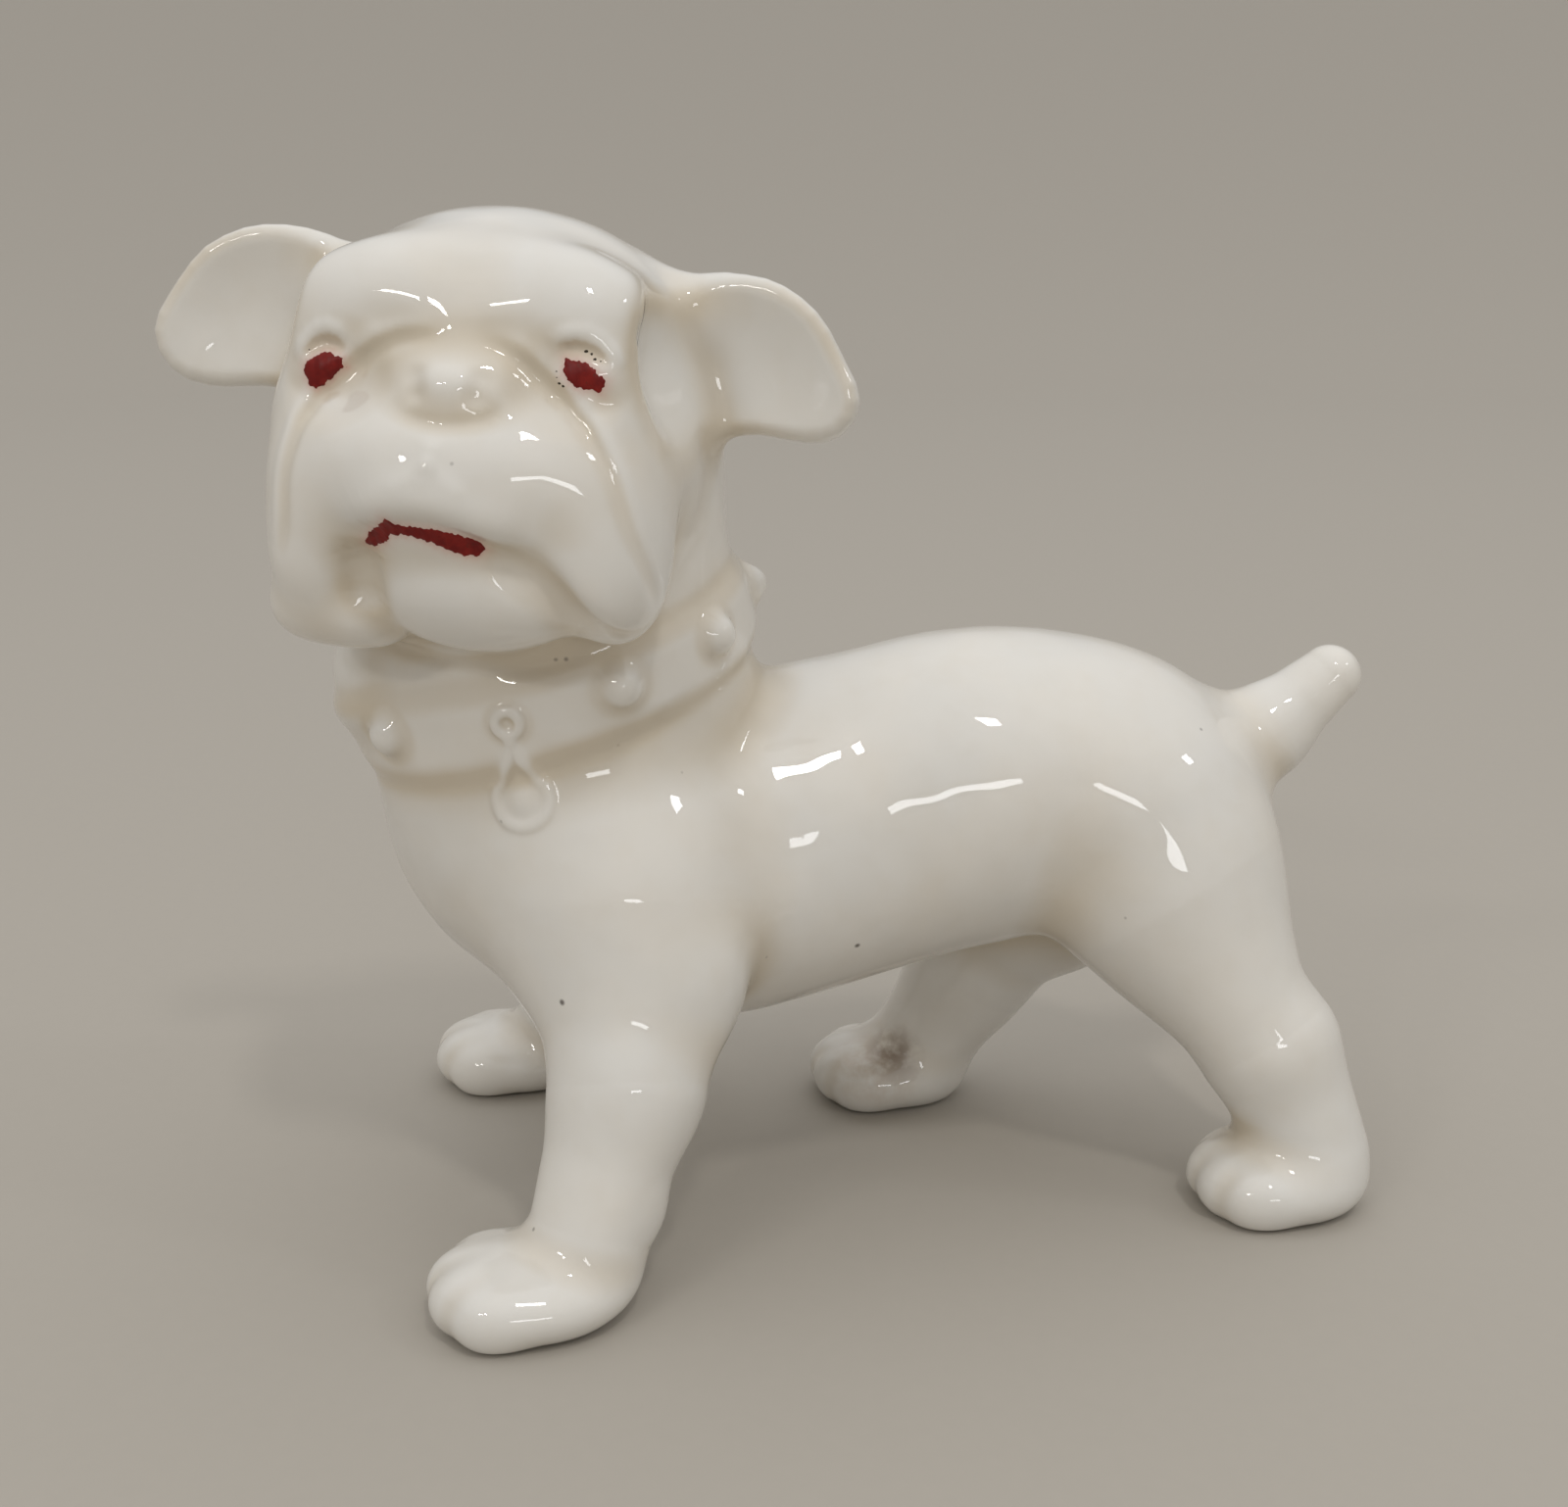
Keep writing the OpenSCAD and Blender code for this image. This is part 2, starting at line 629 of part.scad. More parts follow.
ring_spans = 12;
ring_fn = 8;
ring_seat = strap_seat(tag_turn, -0.05) + strap_t * round_neck(tag_turn);
tag_foot = skin_at(collar_at - 1.3 * strap_w * collar_up, round_neck(tag_turn), collar_field, neck_l);
tag_down = unit(tag_foot + 0.5 * strap_t * round_neck(tag_turn) - ring_seat);
tag_across = unit(cross(tag_down, round_neck(tag_turn)));
tag_out = cross(tag_across, tag_down);
function tag_point(across, down, out) = ring_seat + across * tag_across + down * tag_down + out * tag_out;

// The ring lies flat on the strap, and the tag hangs from it over the swell of the chest
ring_down = unit(strap_seat(tag_turn, -0.5) - strap_seat(tag_turn, 0.5));
ring_out = unit(cross(unit(cross(ring_down, round_neck(tag_turn))), ring_down));
function ring_point(i) =
    let (turn = 360 * i / ring_spans, r = (ring_d - ring_wire) / 2)
    ring_seat + r * cos(turn) * tag_across + r * sin(turn) * ring_down + 0.25 * ring_wire * ring_out;
module ring_form() {
    for (i = [0 : ring_spans - 1]) hull() {
        translate(ring_point(i)) sphere(d = ring_wire, $fn = ring_fn);
        translate(ring_point(i + 1)) sphere(d = ring_wire, $fn = ring_fn);
    }
}
module tag_ring() {
    color(glaze) difference() {
        ring_form();
        strap_form();
    }
}

// The tag is a drop: straight sides run from a narrow top to a round foot. A bead follows its edge,
// and a flat boss fills the foot.
tag_top_r = 0.14 * tag_d;
tag_foot_r = (tag_d - tag_bead) / 2;
tag_top_down = ring_d / 2 + tag_top_r;
tag_foot_down = ring_d / 2 + tag_l - tag_d / 2;
// Where the straight sides leave the round foot, in degrees from straight down
tag_side_turn = 90 + asin((tag_foot_r - tag_top_r) / (tag_foot_down - tag_top_down));
tag_foot_spans = 12;
tag_outline = concat(
    [for (i = [0 : tag_foot_spans]) let (turn = tag_side_turn * (2 * i / tag_foot_spans - 1))
        [tag_foot_r * sin(turn), tag_foot_down + tag_foot_r * cos(turn)]],
    [for (turn = [tag_side_turn, 180, 360 - tag_side_turn])
        [tag_top_r * sin(turn), tag_top_down + tag_top_r * cos(turn)]]);
boss_r = 0.28 * tag_d;
boss_fn = 14;
boss_rise = 0.25 * tag_t;
function tag_circle(r, out) = [for (i = [0 : boss_fn - 1]) let (turn = 360 * i / boss_fn)
    tag_point(r * sin(turn), tag_foot_down + r * cos(turn), out)];

module tag_form() {
    n = len(tag_outline);
    span([for (p = tag_outline) tag_point(p.x, p.y, 0)], [for (p = tag_outline) tag_point(p.x, p.y, -tag_t)]);
    for (i = [0 : n - 1]) hull() {
        for (p = [tag_outline[i], tag_outline[(i + 1) % n]])
            translate(tag_point(p.x, p.y, 0)) sphere(d = tag_bead, $fn = ring_fn);
    }
    span(tag_circle(boss_r, -0.5 * tag_t), tag_circle(0.8 * boss_r, boss_rise));
}
module tag() {
    color(glaze) difference() {
        tag_form();
        neck_form();
        torso_form();
        strap_form();
        ring_form();
    }
}

// Paint

// How far each dab of an eye's ragged edge reaches, as a share of its half size
eye_edge_shares = [1, 0.82, 1.04, 0.88, 1.08, 0.84, 0.97, 0.8, 0.94];
// The mouth's stroke as shares of its length: across, and up from its middle
mouth_middle_share = -0.36;
mouth_stroke_shares = [[-0.58, -0.12], [-0.47, -0.01], [-0.31, 0.1], [-0.2, 0.08], [-0.05, 0.06],
    [0.12, 0.02], [0.28, -0.04], [0.42, -0.1]];

// A dab of paint that lies on the face
module dab(across, up, d) {
    p = face_front(across, up);
    translate(p + (paint_t - d / 2) * unit(p)) sphere(d = d, $fn = ball_fn);
}

module eye_paint(side) {
    n = len(eye_edge_shares);
    x = side * eye_shares[0].x * head_w;
    z = eye_shares[0].z * head_h;
    edge = [for (i = [0 : n - 1])
        let (turn = 360 * i / n)
        [x + eye_edge_shares[i] * eye_l / 2 * cos(turn), z + eye_edge_shares[i] * eye_h / 2 * sin(turn)]];
    color(red) on_head() difference() {
        for (i = [0 : n - 1]) hull() {
            dab(x, z, 2 * paint_t);
            dab(edge[i].x, edge[i].y, 2 * paint_t);
            dab(edge[(i + 1) % n].x, edge[(i + 1) % n].y, 2 * paint_t);
        }
        head_form();
    }
}
module left_eye_paint() { eye_paint(1); }
module right_eye_paint() { eye_paint(-1); }

module mouth_paint() {
    stroke = [for (s = mouth_stroke_shares) [s.x * mouth_l, mouth_middle_share * head_h + s.y * mouth_l]];
    color(red) on_head() difference() {
        for (i = [0 : len(stroke) - 2]) hull() {
            dab(stroke[i].x, stroke[i].y, mouth_h);
            dab(stroke[i + 1].x, stroke[i + 1].y, mouth_h);
        }
        head_form();
    }
}

translate([0, centre_share * torso_l, 0]) {
    torso();
    neck();
    head();
    left_ear();
    right_ear();
    front_left_leg();
    front_right_leg();
    hind_left_leg();
    hind_right_leg();
    tail();
    collar();
    collar_studs();
    tag_ring();
    tag();
    left_eye_paint();
    right_eye_paint();
    mouth_paint();
}
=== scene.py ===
"""Standing bulldog figurine in white glazed porcelain, with a studded collar, a tag and red paint.

The figure is modelled the way a potter would: egg shaped lumps of clay are laid against each other,
fused, smoothed and then worked with a round tool, and the finished form is cut into its pieces where
they were luted together. Lengths inside the classes are millimetres, with the dog facing -Y, its left
side at +X and the table at Z = 0. The finished meshes are scaled to metres.
"""

import json
import logging
import math
from collections.abc import Callable
from dataclasses import dataclass, field
from enum import Enum

import bpy
import numpy as np
from mathutils import Matrix, Quaternion, Vector

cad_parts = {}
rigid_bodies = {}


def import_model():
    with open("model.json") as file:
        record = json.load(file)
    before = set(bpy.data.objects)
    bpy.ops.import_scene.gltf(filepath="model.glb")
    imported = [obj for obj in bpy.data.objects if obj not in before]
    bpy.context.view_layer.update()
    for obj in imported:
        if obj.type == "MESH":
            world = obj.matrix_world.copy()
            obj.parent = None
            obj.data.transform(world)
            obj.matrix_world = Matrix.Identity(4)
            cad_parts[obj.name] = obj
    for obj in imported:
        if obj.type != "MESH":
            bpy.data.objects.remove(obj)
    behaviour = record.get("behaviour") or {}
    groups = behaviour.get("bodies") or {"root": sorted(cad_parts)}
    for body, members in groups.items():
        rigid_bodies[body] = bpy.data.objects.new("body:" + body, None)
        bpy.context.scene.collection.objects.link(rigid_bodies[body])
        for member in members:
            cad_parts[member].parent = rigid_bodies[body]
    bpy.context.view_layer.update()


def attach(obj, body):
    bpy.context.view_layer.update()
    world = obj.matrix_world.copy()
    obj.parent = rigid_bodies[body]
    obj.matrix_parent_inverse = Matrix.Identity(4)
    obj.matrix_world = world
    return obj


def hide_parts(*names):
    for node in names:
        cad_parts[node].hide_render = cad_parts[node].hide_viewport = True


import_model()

log = logging.getLogger("figurine")

MM = 0.001
Point = tuple[float, float, float]
Array = np.ndarray
Fine = np.float32

# How far the whole figure is moved along Y, so that its footprint is centred
CENTRE_Y = -0.958
TO_METRES = Matrix.Translation((0, CENTRE_Y * MM, 0)) @ Matrix.Scale(MM, 4)
# A gap that stands for nothing near
FAR = 50.0
# How far from a lump's skin its pull still matters, beyond its blend
MARGIN = 2.5
# Distance over which the slope of the finished skin is measured
SLOPE_STEP = 0.08


class Clay(Enum):
    """What a lump does to the clay that is already there."""

    ADD = 1
    PRESS = -1


class Glaze(Enum):
    """Names of the finishes, as the record's material slots name them."""

    WHITE = "glaze"
    RED = "red_paint"


class Cloud:
    """Points that lie close together, and the box round them."""

    def __init__(self, points: Array) -> None:
        """Note the points and their box."""
        self.points = points
        self.low, self.high = points.min(0), points.max(0)

    def off(self, at: Array) -> float:
        """Distance from a place to the box."""
        return float(np.linalg.norm(np.maximum(np.maximum(self.low - at, at - self.high), 0)))


def vertices(mesh: bpy.types.Mesh, kind: str = "co") -> Array:
    """The places of a mesh's vertices, or another vector that each of them has."""
    values = np.zeros(len(mesh.vertices) * 3, Fine)
    mesh.vertices.foreach_get(kind, values)
    return values.reshape(-1, 3)


def move(mesh: bpy.types.Mesh, places: Array) -> None:
    """Move a mesh's vertices to new places."""
    mesh.vertices.foreach_set("co", places.astype(Fine).ravel())
    mesh.update()


def note(mesh: bpy.types.Mesh, name: str, values: Array) -> None:
    """Write one value for each vertex into an attribute of the mesh."""
    mesh.attributes.new(name, "FLOAT", "POINT").data.foreach_set("value", values.astype(Fine))


def soft_min(a: Array, b: Array, blend: float) -> Array:
    """Melt two distances together.

    Args:
        a: Distances to the first skin.
        b: Distances to the second skin.
        blend: Width over which the two melt.

    Returns:
        The melted distances.
    """
    h = np.maximum(blend - np.abs(a - b), 0.0) / blend
    return np.minimum(a, b) - h * h * blend * 0.25


def turned(pitch: float = 0.0, roll: float = 0.0) -> Array:
    """Axes of a lump that is pitched about its cross axis and rolled about its long one.

    Args:
        pitch: Turn about the first axis, in degrees.
        roll: Turn about the second axis, in degrees.

    Returns:
        A matrix whose columns are the lump's own axes.
    """
    p, r = math.radians(pitch), math.radians(roll)
    about_x = np.array([[1, 0, 0], [0, math.cos(p), -math.sin(p)], [0, math.sin(p), math.cos(p)]])
    about_y = np.array([[math.cos(r), 0, math.sin(r)], [0, 1, 0], [-math.sin(r), 0, math.cos(r)]])
    return about_x @ about_y


@dataclass(frozen=True)
class Pose:
    """Where a local frame lies. The rows of axes are its left, forward and up directions."""

    at: Array
    axes: Array

    def out(self, points: Array) -> Array:
        """Points of the local frame in the figure's frame."""
        return self.at + np.asarray(points, float) @ self.axes


BODY = Pose(np.zeros(3), np.eye(3))


class Egg:
    """An egg shaped lump."""

    def __init__(self, at: Point, half: Point, pitch: float = 0.0, roll: float = 0.0, pose: Pose = BODY):
        """Place the lump.

        Args:
            at: Its middle, in the frame of pose.
            half: Its half sizes.
            pitch: Its turn about its cross axis, in degrees.
            roll: Its turn about its long axis, in degrees.
            pose: The frame that it is given in.
        """
        self.at = pose.out(at).astype(Fine)
        self.half = np.array(half, Fine)
        self.axes = (pose.axes.T @ turned(pitch, roll)).astype(Fine)
        self.reach = float(self.half.max())

    def gap(self, points: Array) -> Array:
        """Distance from each point to the lump's skin."""
        a = ((points - self.at) @ self.axes) / self.half
        b = a / self.half
        k0 = np.sqrt(np.einsum("ij,ij->i", a, a)) + 1e-9
        k1 = np.sqrt(np.einsum("ij,ij->i", b, b)) + 1e-9
        return k0 * (k0 - 1.0) / k1

    def block(self) -> None:
        """Add the lump as a ball, scaled and turned into place."""
        axes = self.axes.astype(float)
        if np.linalg.det(axes) < 0:
            axes[:, 0] *= -1
        bpy.ops.mesh.primitive_uv_sphere_add(
            segments=32, ring_count=20, radius=1.0, location=self.at,
            rotation=Matrix(axes.tolist()).to_euler(), scale=self.half)


class Limb:
    """A lump drawn out between two round ends."""

    def __init__(self, a: Point, b: Point, ra: float, rb: float, pose: Pose = BODY):
        """Place the limb.

        Args:
            a: Middle of the first end.
            b: Middle of the second end.
            ra: Radius of the first end.
            rb: Radius of the second end.
            pose: The frame that the ends are given in.
        """
        self.a, self.b = pose.out(a).astype(Fine), pose.out(b).astype(Fine)
        self.ra, self.rb = ra, rb
        self.at = (self.a + self.b) / 2
        self.run = self.b - self.a
        self.length = float(np.linalg.norm(self.run))
        self.reach = self.length / 2 + max(ra, rb)

    def gap(self, points: Array) -> Array:
        """Distance from each point to the limb's skin."""
        along = np.clip((points - self.a) @ self.run / self.length**2, 0.0, 1.0)
        off = points - self.a - along[:, None] * self.run
        return np.sqrt(np.einsum("ij,ij->i", off, off)) - self.ra - along * (self.rb - self.ra)

    def block(self) -> None:
        """Add the limb as two balls with a cone between them."""
        for at, radius in ((self.a, self.ra), (self.b, self.rb)):
            bpy.ops.mesh.primitive_uv_sphere_add(segments=28, ring_count=16, radius=radius, location=at)
        bpy.ops.mesh.primitive_cone_add(
            vertices=28, radius1=self.ra, radius2=self.rb, depth=self.length, location=self.at,
            rotation=Vector(self.run).to_track_quat("Z", "Y").to_euler())


class Leaf:
    """A sheet of clay of even thickness with a round rim, such as an ear flap."""

    # Length of the rim's short straight pieces
    step = 1.0

    def __init__(self, outline: list[tuple[float, float]], side: int, thickness: float, pose: Pose,
                 root: float, slant: float, lean: float):
        """Place the leaf.

        Args:
            outline: Left and up places of the middle surface's rim, for the left side.
            side: 1 for the left side, -1 for the right.
            thickness: How thick the sheet is.
            pose: The frame that the places are given in.
            root: How far forward the middle surface lies at the rim's first corner.
            slant: How much further forward it lies per length outwards.
            lean: How much further forward it lies per length upwards.
        """
        rim = curve(np.array([*outline, outline[0]]), self.step)[:-1]
        self.side, self.r, self.pose = side, thickness / 2, pose
        self.root, self.slant, self.lean, self.start = root, slant, lean, outline[0]
        self.rim = rim.astype(Fine)
        self.axes = pose.axes.T.astype(Fine)
        self.middle = pose.at.astype(Fine)
        centre = (rim.max(0) + rim.min(0)) / 2
        self.at = self.place(centre[None])[0].astype(Fine)
        self.reach = float(np.linalg.norm(rim - centre, axis=1).max()) + self.r + 1.0

    def place(self, flat: Array) -> Array:
        """Points of the middle surface, in the figure's frame."""
        outwards, upwards = flat[:, 0] - self.start[0], flat[:, 1] - self.start[1]
        forward = self.root + self.slant * outwards + self.lean * upwards
        return self.pose.out(np.column_stack([self.side * flat[:, 0], forward, flat[:, 1]]))

    def gap(self, points: Array) -> Array:
        """Distance from each point to the leaf's skin."""
        local = (points - self.middle) @ self.axes
        x, y = self.side * local[:, 0], local[:, 2]
        best, inside = np.full(len(x), 1e9, Fine), np.zeros(len(x), bool)
        for (ax, ay), (bx, by) in zip(self.rim, np.roll(self.rim, -1, axis=0)):
            rx, ry, ox, oy = bx - ax, by - ay, x - ax, y - ay
            along = np.clip((ox * rx + oy * ry) / (rx * rx + ry * ry), 0, 1)
            ox, oy = ox - along * rx, oy - along * ry
            best = np.minimum(best, ox * ox + oy * oy)
            inside ^= ((ay > y) != (by > y)) & (x < ax + (y - ay) / (by - ay + Fine(1e-9)) * rx)
        best[inside] = 0
        middle = self.root + self.slant * (x - self.start[0]) + self.lean * (y - self.start[1])
        ahead = (local[:, 1] - middle) / Fine(math.hypot(1, self.slant, self.lean))
        return np.sqrt(best + ahead * ahead) - self.r

    def block(self) -> None:
        """Add the leaf as round ribs that fan out from its root and run along its rim."""
        rim = self.place(self.rim.astype(float))
        root = rim[0]
        for i, point in enumerate(rim[1:], 1):
            Limb(tuple(root), tuple(point), self.r, self.r).block()
            if i > 1:
                Limb(tuple(rim[i - 1]), tuple(point), self.r, self.r).block()


class Loop:
    """A round ring of wire."""

    def __init__(self, at: Point, axis: Array, radius: float, wire: float):
        """Place the ring.

        Args:
            at: Its middle.
            axis: The direction that it lies square to.
            radius: Radius of the wire's middle line.
            wire: Radius of the wire.
        """
        self.at, self.axis = np.array(at, Fine), np.array(axis, Fine)
        self.radius, self.wire = radius, wire
        self.reach = radius + wire

    def gap(self, points: Array) -> Array:
        """Distance from each point to the ring's skin."""
        off = points - self.at
        height = off @ self.axis
        flat = np.sqrt(np.maximum(np.einsum("ij,ij->i", off, off) - height**2, 0.0))
        return np.hypot(flat - self.radius, height) - self.wire

    def block(self) -> None:
        """Add the ring as a torus."""
        bpy.ops.mesh.primitive_torus_add(
            major_segments=32, minor_segments=12, major_radius=self.radius, minor_radius=self.wire,
            location=self.at, rotation=Vector(self.axis).to_track_quat("Z", "Y").to_euler())


@dataclass(frozen=True)
class Lump:
    """One shape and how it melts into the clay."""

    shape: Egg | Limb | Leaf | Loop
    blend: float
    clay: Clay = Clay.ADD

    def work(self, cloud: Cloud, gaps: Array) -> None:
        """Add the lump to the clay, or press it in.

        Args:
            cloud: Where the gaps are taken.
            gaps: Distances to the skin so far, changed in place.
        """
        if cloud.off(self.shape.at) > self.shape.reach + self.blend + MARGIN:
            return
        own = self.shape.gap(cloud.points)
        if self.clay is Clay.ADD:
            gaps[:] = soft_min(gaps, own, self.blend)
        else:
            gaps[:] = -soft_min(-gaps, own, self.blend)


def curve(points: Array, step: float = 0.6) -> Array:
    """A smooth curve through some points.

    Args:
        points: The points, in order.
        step: Length of the curve's short straight pieces.

    Returns:
        The curve's points.
    """
    ends = np.vstack([2 * points[0] - points[1], points, 2 * points[-1] - points[-2]])
    out = [points[0]]
    for p0, p1, p2, p3 in zip(ends[:-3], ends[1:-2], ends[2:-1], ends[3:]):
        count = max(2, int(np.linalg.norm(p2 - p1) / step))
        for t in (np.arange(count) + 1) / count:
            out.append(0.5 * (2 * p1 + (p2 - p0) * t + (2 * p0 - 5 * p1 + 4 * p2 - p3) * t**2
                              + (3 * p1 - p0 - 3 * p2 + p3) * t**3))
    return np.array(out)


class Stroke:
    """A stroke of a round tool along a path: a groove if its depth is above zero, else a ridge."""

    # How far a mark reaches from its path, in its own widths
    reach = 2.6

    def __init__(self, path: list[Point] | Array, width: float, depth: float, pose: Pose = BODY,
                 fade: float = 0.18, smooth: bool = True):
        """Lay out the stroke.

        Args:
            path: Points that it runs through.
            width: Half width of the mark.
            depth: Depth of the mark at its middle.
            pose: The frame that the path is given in.
            fade: Share of the path over which each end fades out.
            smooth: Whether it runs through the points in a smooth curve, and not straight.
        """
        points = pose.out(np.array(path))
        self.path = curve(points) if smooth else points
        self.width, self.depth, self.fade = width, depth, fade

    def mark(self, cloud: Cloud, gaps: Array) -> None:
        """Draw the stroke into the clay.

        Args:
            cloud: Where the gaps are taken.
            gaps: Distances to the skin so far, changed in place.
        """
        room = self.reach * self.width
        middle = (self.path.max(0) + self.path.min(0)) / 2
        apart = np.abs(np.clip(middle, cloud.low, cloud.high) - middle)
        if (apart > np.ptp(self.path, axis=0) / 2 + room).any():
            return
        starts, ends = self.path[:-1], self.path[1:]
        near = np.flatnonzero(((np.minimum(starts, ends) < cloud.high + room)
                               & (np.maximum(starts, ends) > cloud.low - room)).all(1))
        if not len(near):
            return
        centre = self.path[near].mean(0)
        q, a = cloud.points - centre.astype(Fine), (starts[near] - centre).astype(Fine)
        run = (ends[near] - starts[near]).astype(Fine)
        length = np.einsum("ij,ij->i", run, run) + Fine(1e-9)
        cast = q @ run.T - np.einsum("ij,ij->i", a, run)
        along = np.clip(cast / length, 0, 1)
        apart = (np.einsum("ij,ij->i", q, q)[:, None] - 2 * q @ a.T + np.einsum("ij,ij->i", a, a)
                 - 2 * along * cast + along * along * length)
        best = apart.argmin(1)
        rows = np.arange(len(q))
        strength = 1.0
        if self.fade:
            share = (near[best] + along[rows, best]) / Fine(len(starts))
            end = np.clip(np.minimum(share, 1 - share) / Fine(self.fade), 0, 1)
            strength = end * end * (3 - 2 * end)
        gaps += self.depth * strength * np.exp(-np.maximum(apart[rows, best], 0) / self.width**2)


@dataclass
class Part:
    """Lumps and strokes of one sub-assembly, with the width at which it melts into the rest."""

    lumps: list[Lump]
    strokes: list[Stroke] = field(default_factory=list)

    def gap(self, cloud: Cloud) -> Array:
        """Distance from each point to the part's own skin, before its strokes."""
        gaps = np.full(len(cloud.points), FAR, Fine)
        for lump in self.lumps:
            lump.work(cloud, gaps)
        return gaps


@dataclass
class Torso:
    """Chest, belly, loin and rump, with the shoulders and the haunches."""

    rib_half_width: float = 13.6
    rib_half_length: float = 20.0
    rib_height: float = 27.6
    blend: float = 6.0

    def part(self) -> Part:
        """Lumps and strokes of the torso."""
        rib = Egg((0, -8, self.rib_height), (self.rib_half_width, self.rib_half_length, 13.2))
        behind_shoulder = [(13.0, -3.0, 37.5), (13.4, -3.8, 33), (13.9, -5.4, 28), (13.6, -6.6, 24)]
        before_haunch = [(11.0, 19.0, 36.0), (12.0, 19.5, 31), (10.8, 19.8, 26.5), (8.0, 18.6, 22)]
        lumps = [
            Lump(rib, self.blend),
            Lump(Egg((0.5, -19, 34), (13.0, 12.5, 12.0)), self.blend),
            Lump(Egg((0, 10, 31), (11.4, 18, 12.4)), self.blend),
            Lump(Egg((0, 20, 33.3), (11.2, 15, 10.6)), self.blend),
            Lump(Egg((0, 28, 30.6), (11.5, 11, 9.2), pitch=-25), 5.0),
            Lump(Egg((9.5, -14.5, 27.5), (8, 9, 11)), 5.0),
            Lump(Egg((-9.5, -14.5, 27.5), (8, 9, 11)), 5.0),
            Lump(Egg((6.6, 29.5, 25), (6, 8.2, 10.5), pitch=30), 5.0),
            Lump(Egg((-6.5, 26, 24.5), (6, 8.2, 10.5), pitch=-10), 5.0),
        ]
        strokes = [
            Stroke(behind_shoulder, 3.2, 0.3, fade=0.5),
            Stroke(before_haunch, 3.4, 0.3, fade=0.5),
        ]
        return Part(lumps, strokes)


@dataclass
class Neck:
    """The stout neck, with folds of loose skin on the throat."""

    blend: float = 4.0
    fold_width: float = 1.1

    def part(self) -> Part:
        """Lumps and strokes of the neck."""
        lumps = [
            Lump(Egg((1.5, -18.8, 44), (12.2, 14.9, 13)), self.blend),
            Lump(Limb((2.5, -17, 46), (6, -17, 60), 11.8, 11.2), self.blend),
            Lump(Egg((4.5, -32.2, 43.6), (3.4, 2.0, 3.0)), 2.5),
        ]
        return Part(lumps, self.folds())

    def folds(self) -> list[Stroke]:
        """Ledges of skin that hang between the jaw and the collar."""
        rows = [
            [(3, -31.5, 48.6), (9, -29.6, 48.0), (13.5, -25.6, 47.2),
             (15.8, -20.5, 47.2), (15.6, -14.5, 48.6)],
            [(2, -31.8, 50.6), (8, -30.4, 50.2), (12.6, -27.2, 49.4),
             (15.4, -22.6, 49.0), (16.2, -17.5, 49.6)],
        ]
        strokes = []
        for row in rows:
            strokes.append(Stroke(row, self.fold_width, -0.45, fade=0.4))
            under = [(x, y, z - 1.2) for x, y, z in row]
            strokes.append(Stroke(under, 0.6, 0.28, fade=0.4))
        return strokes


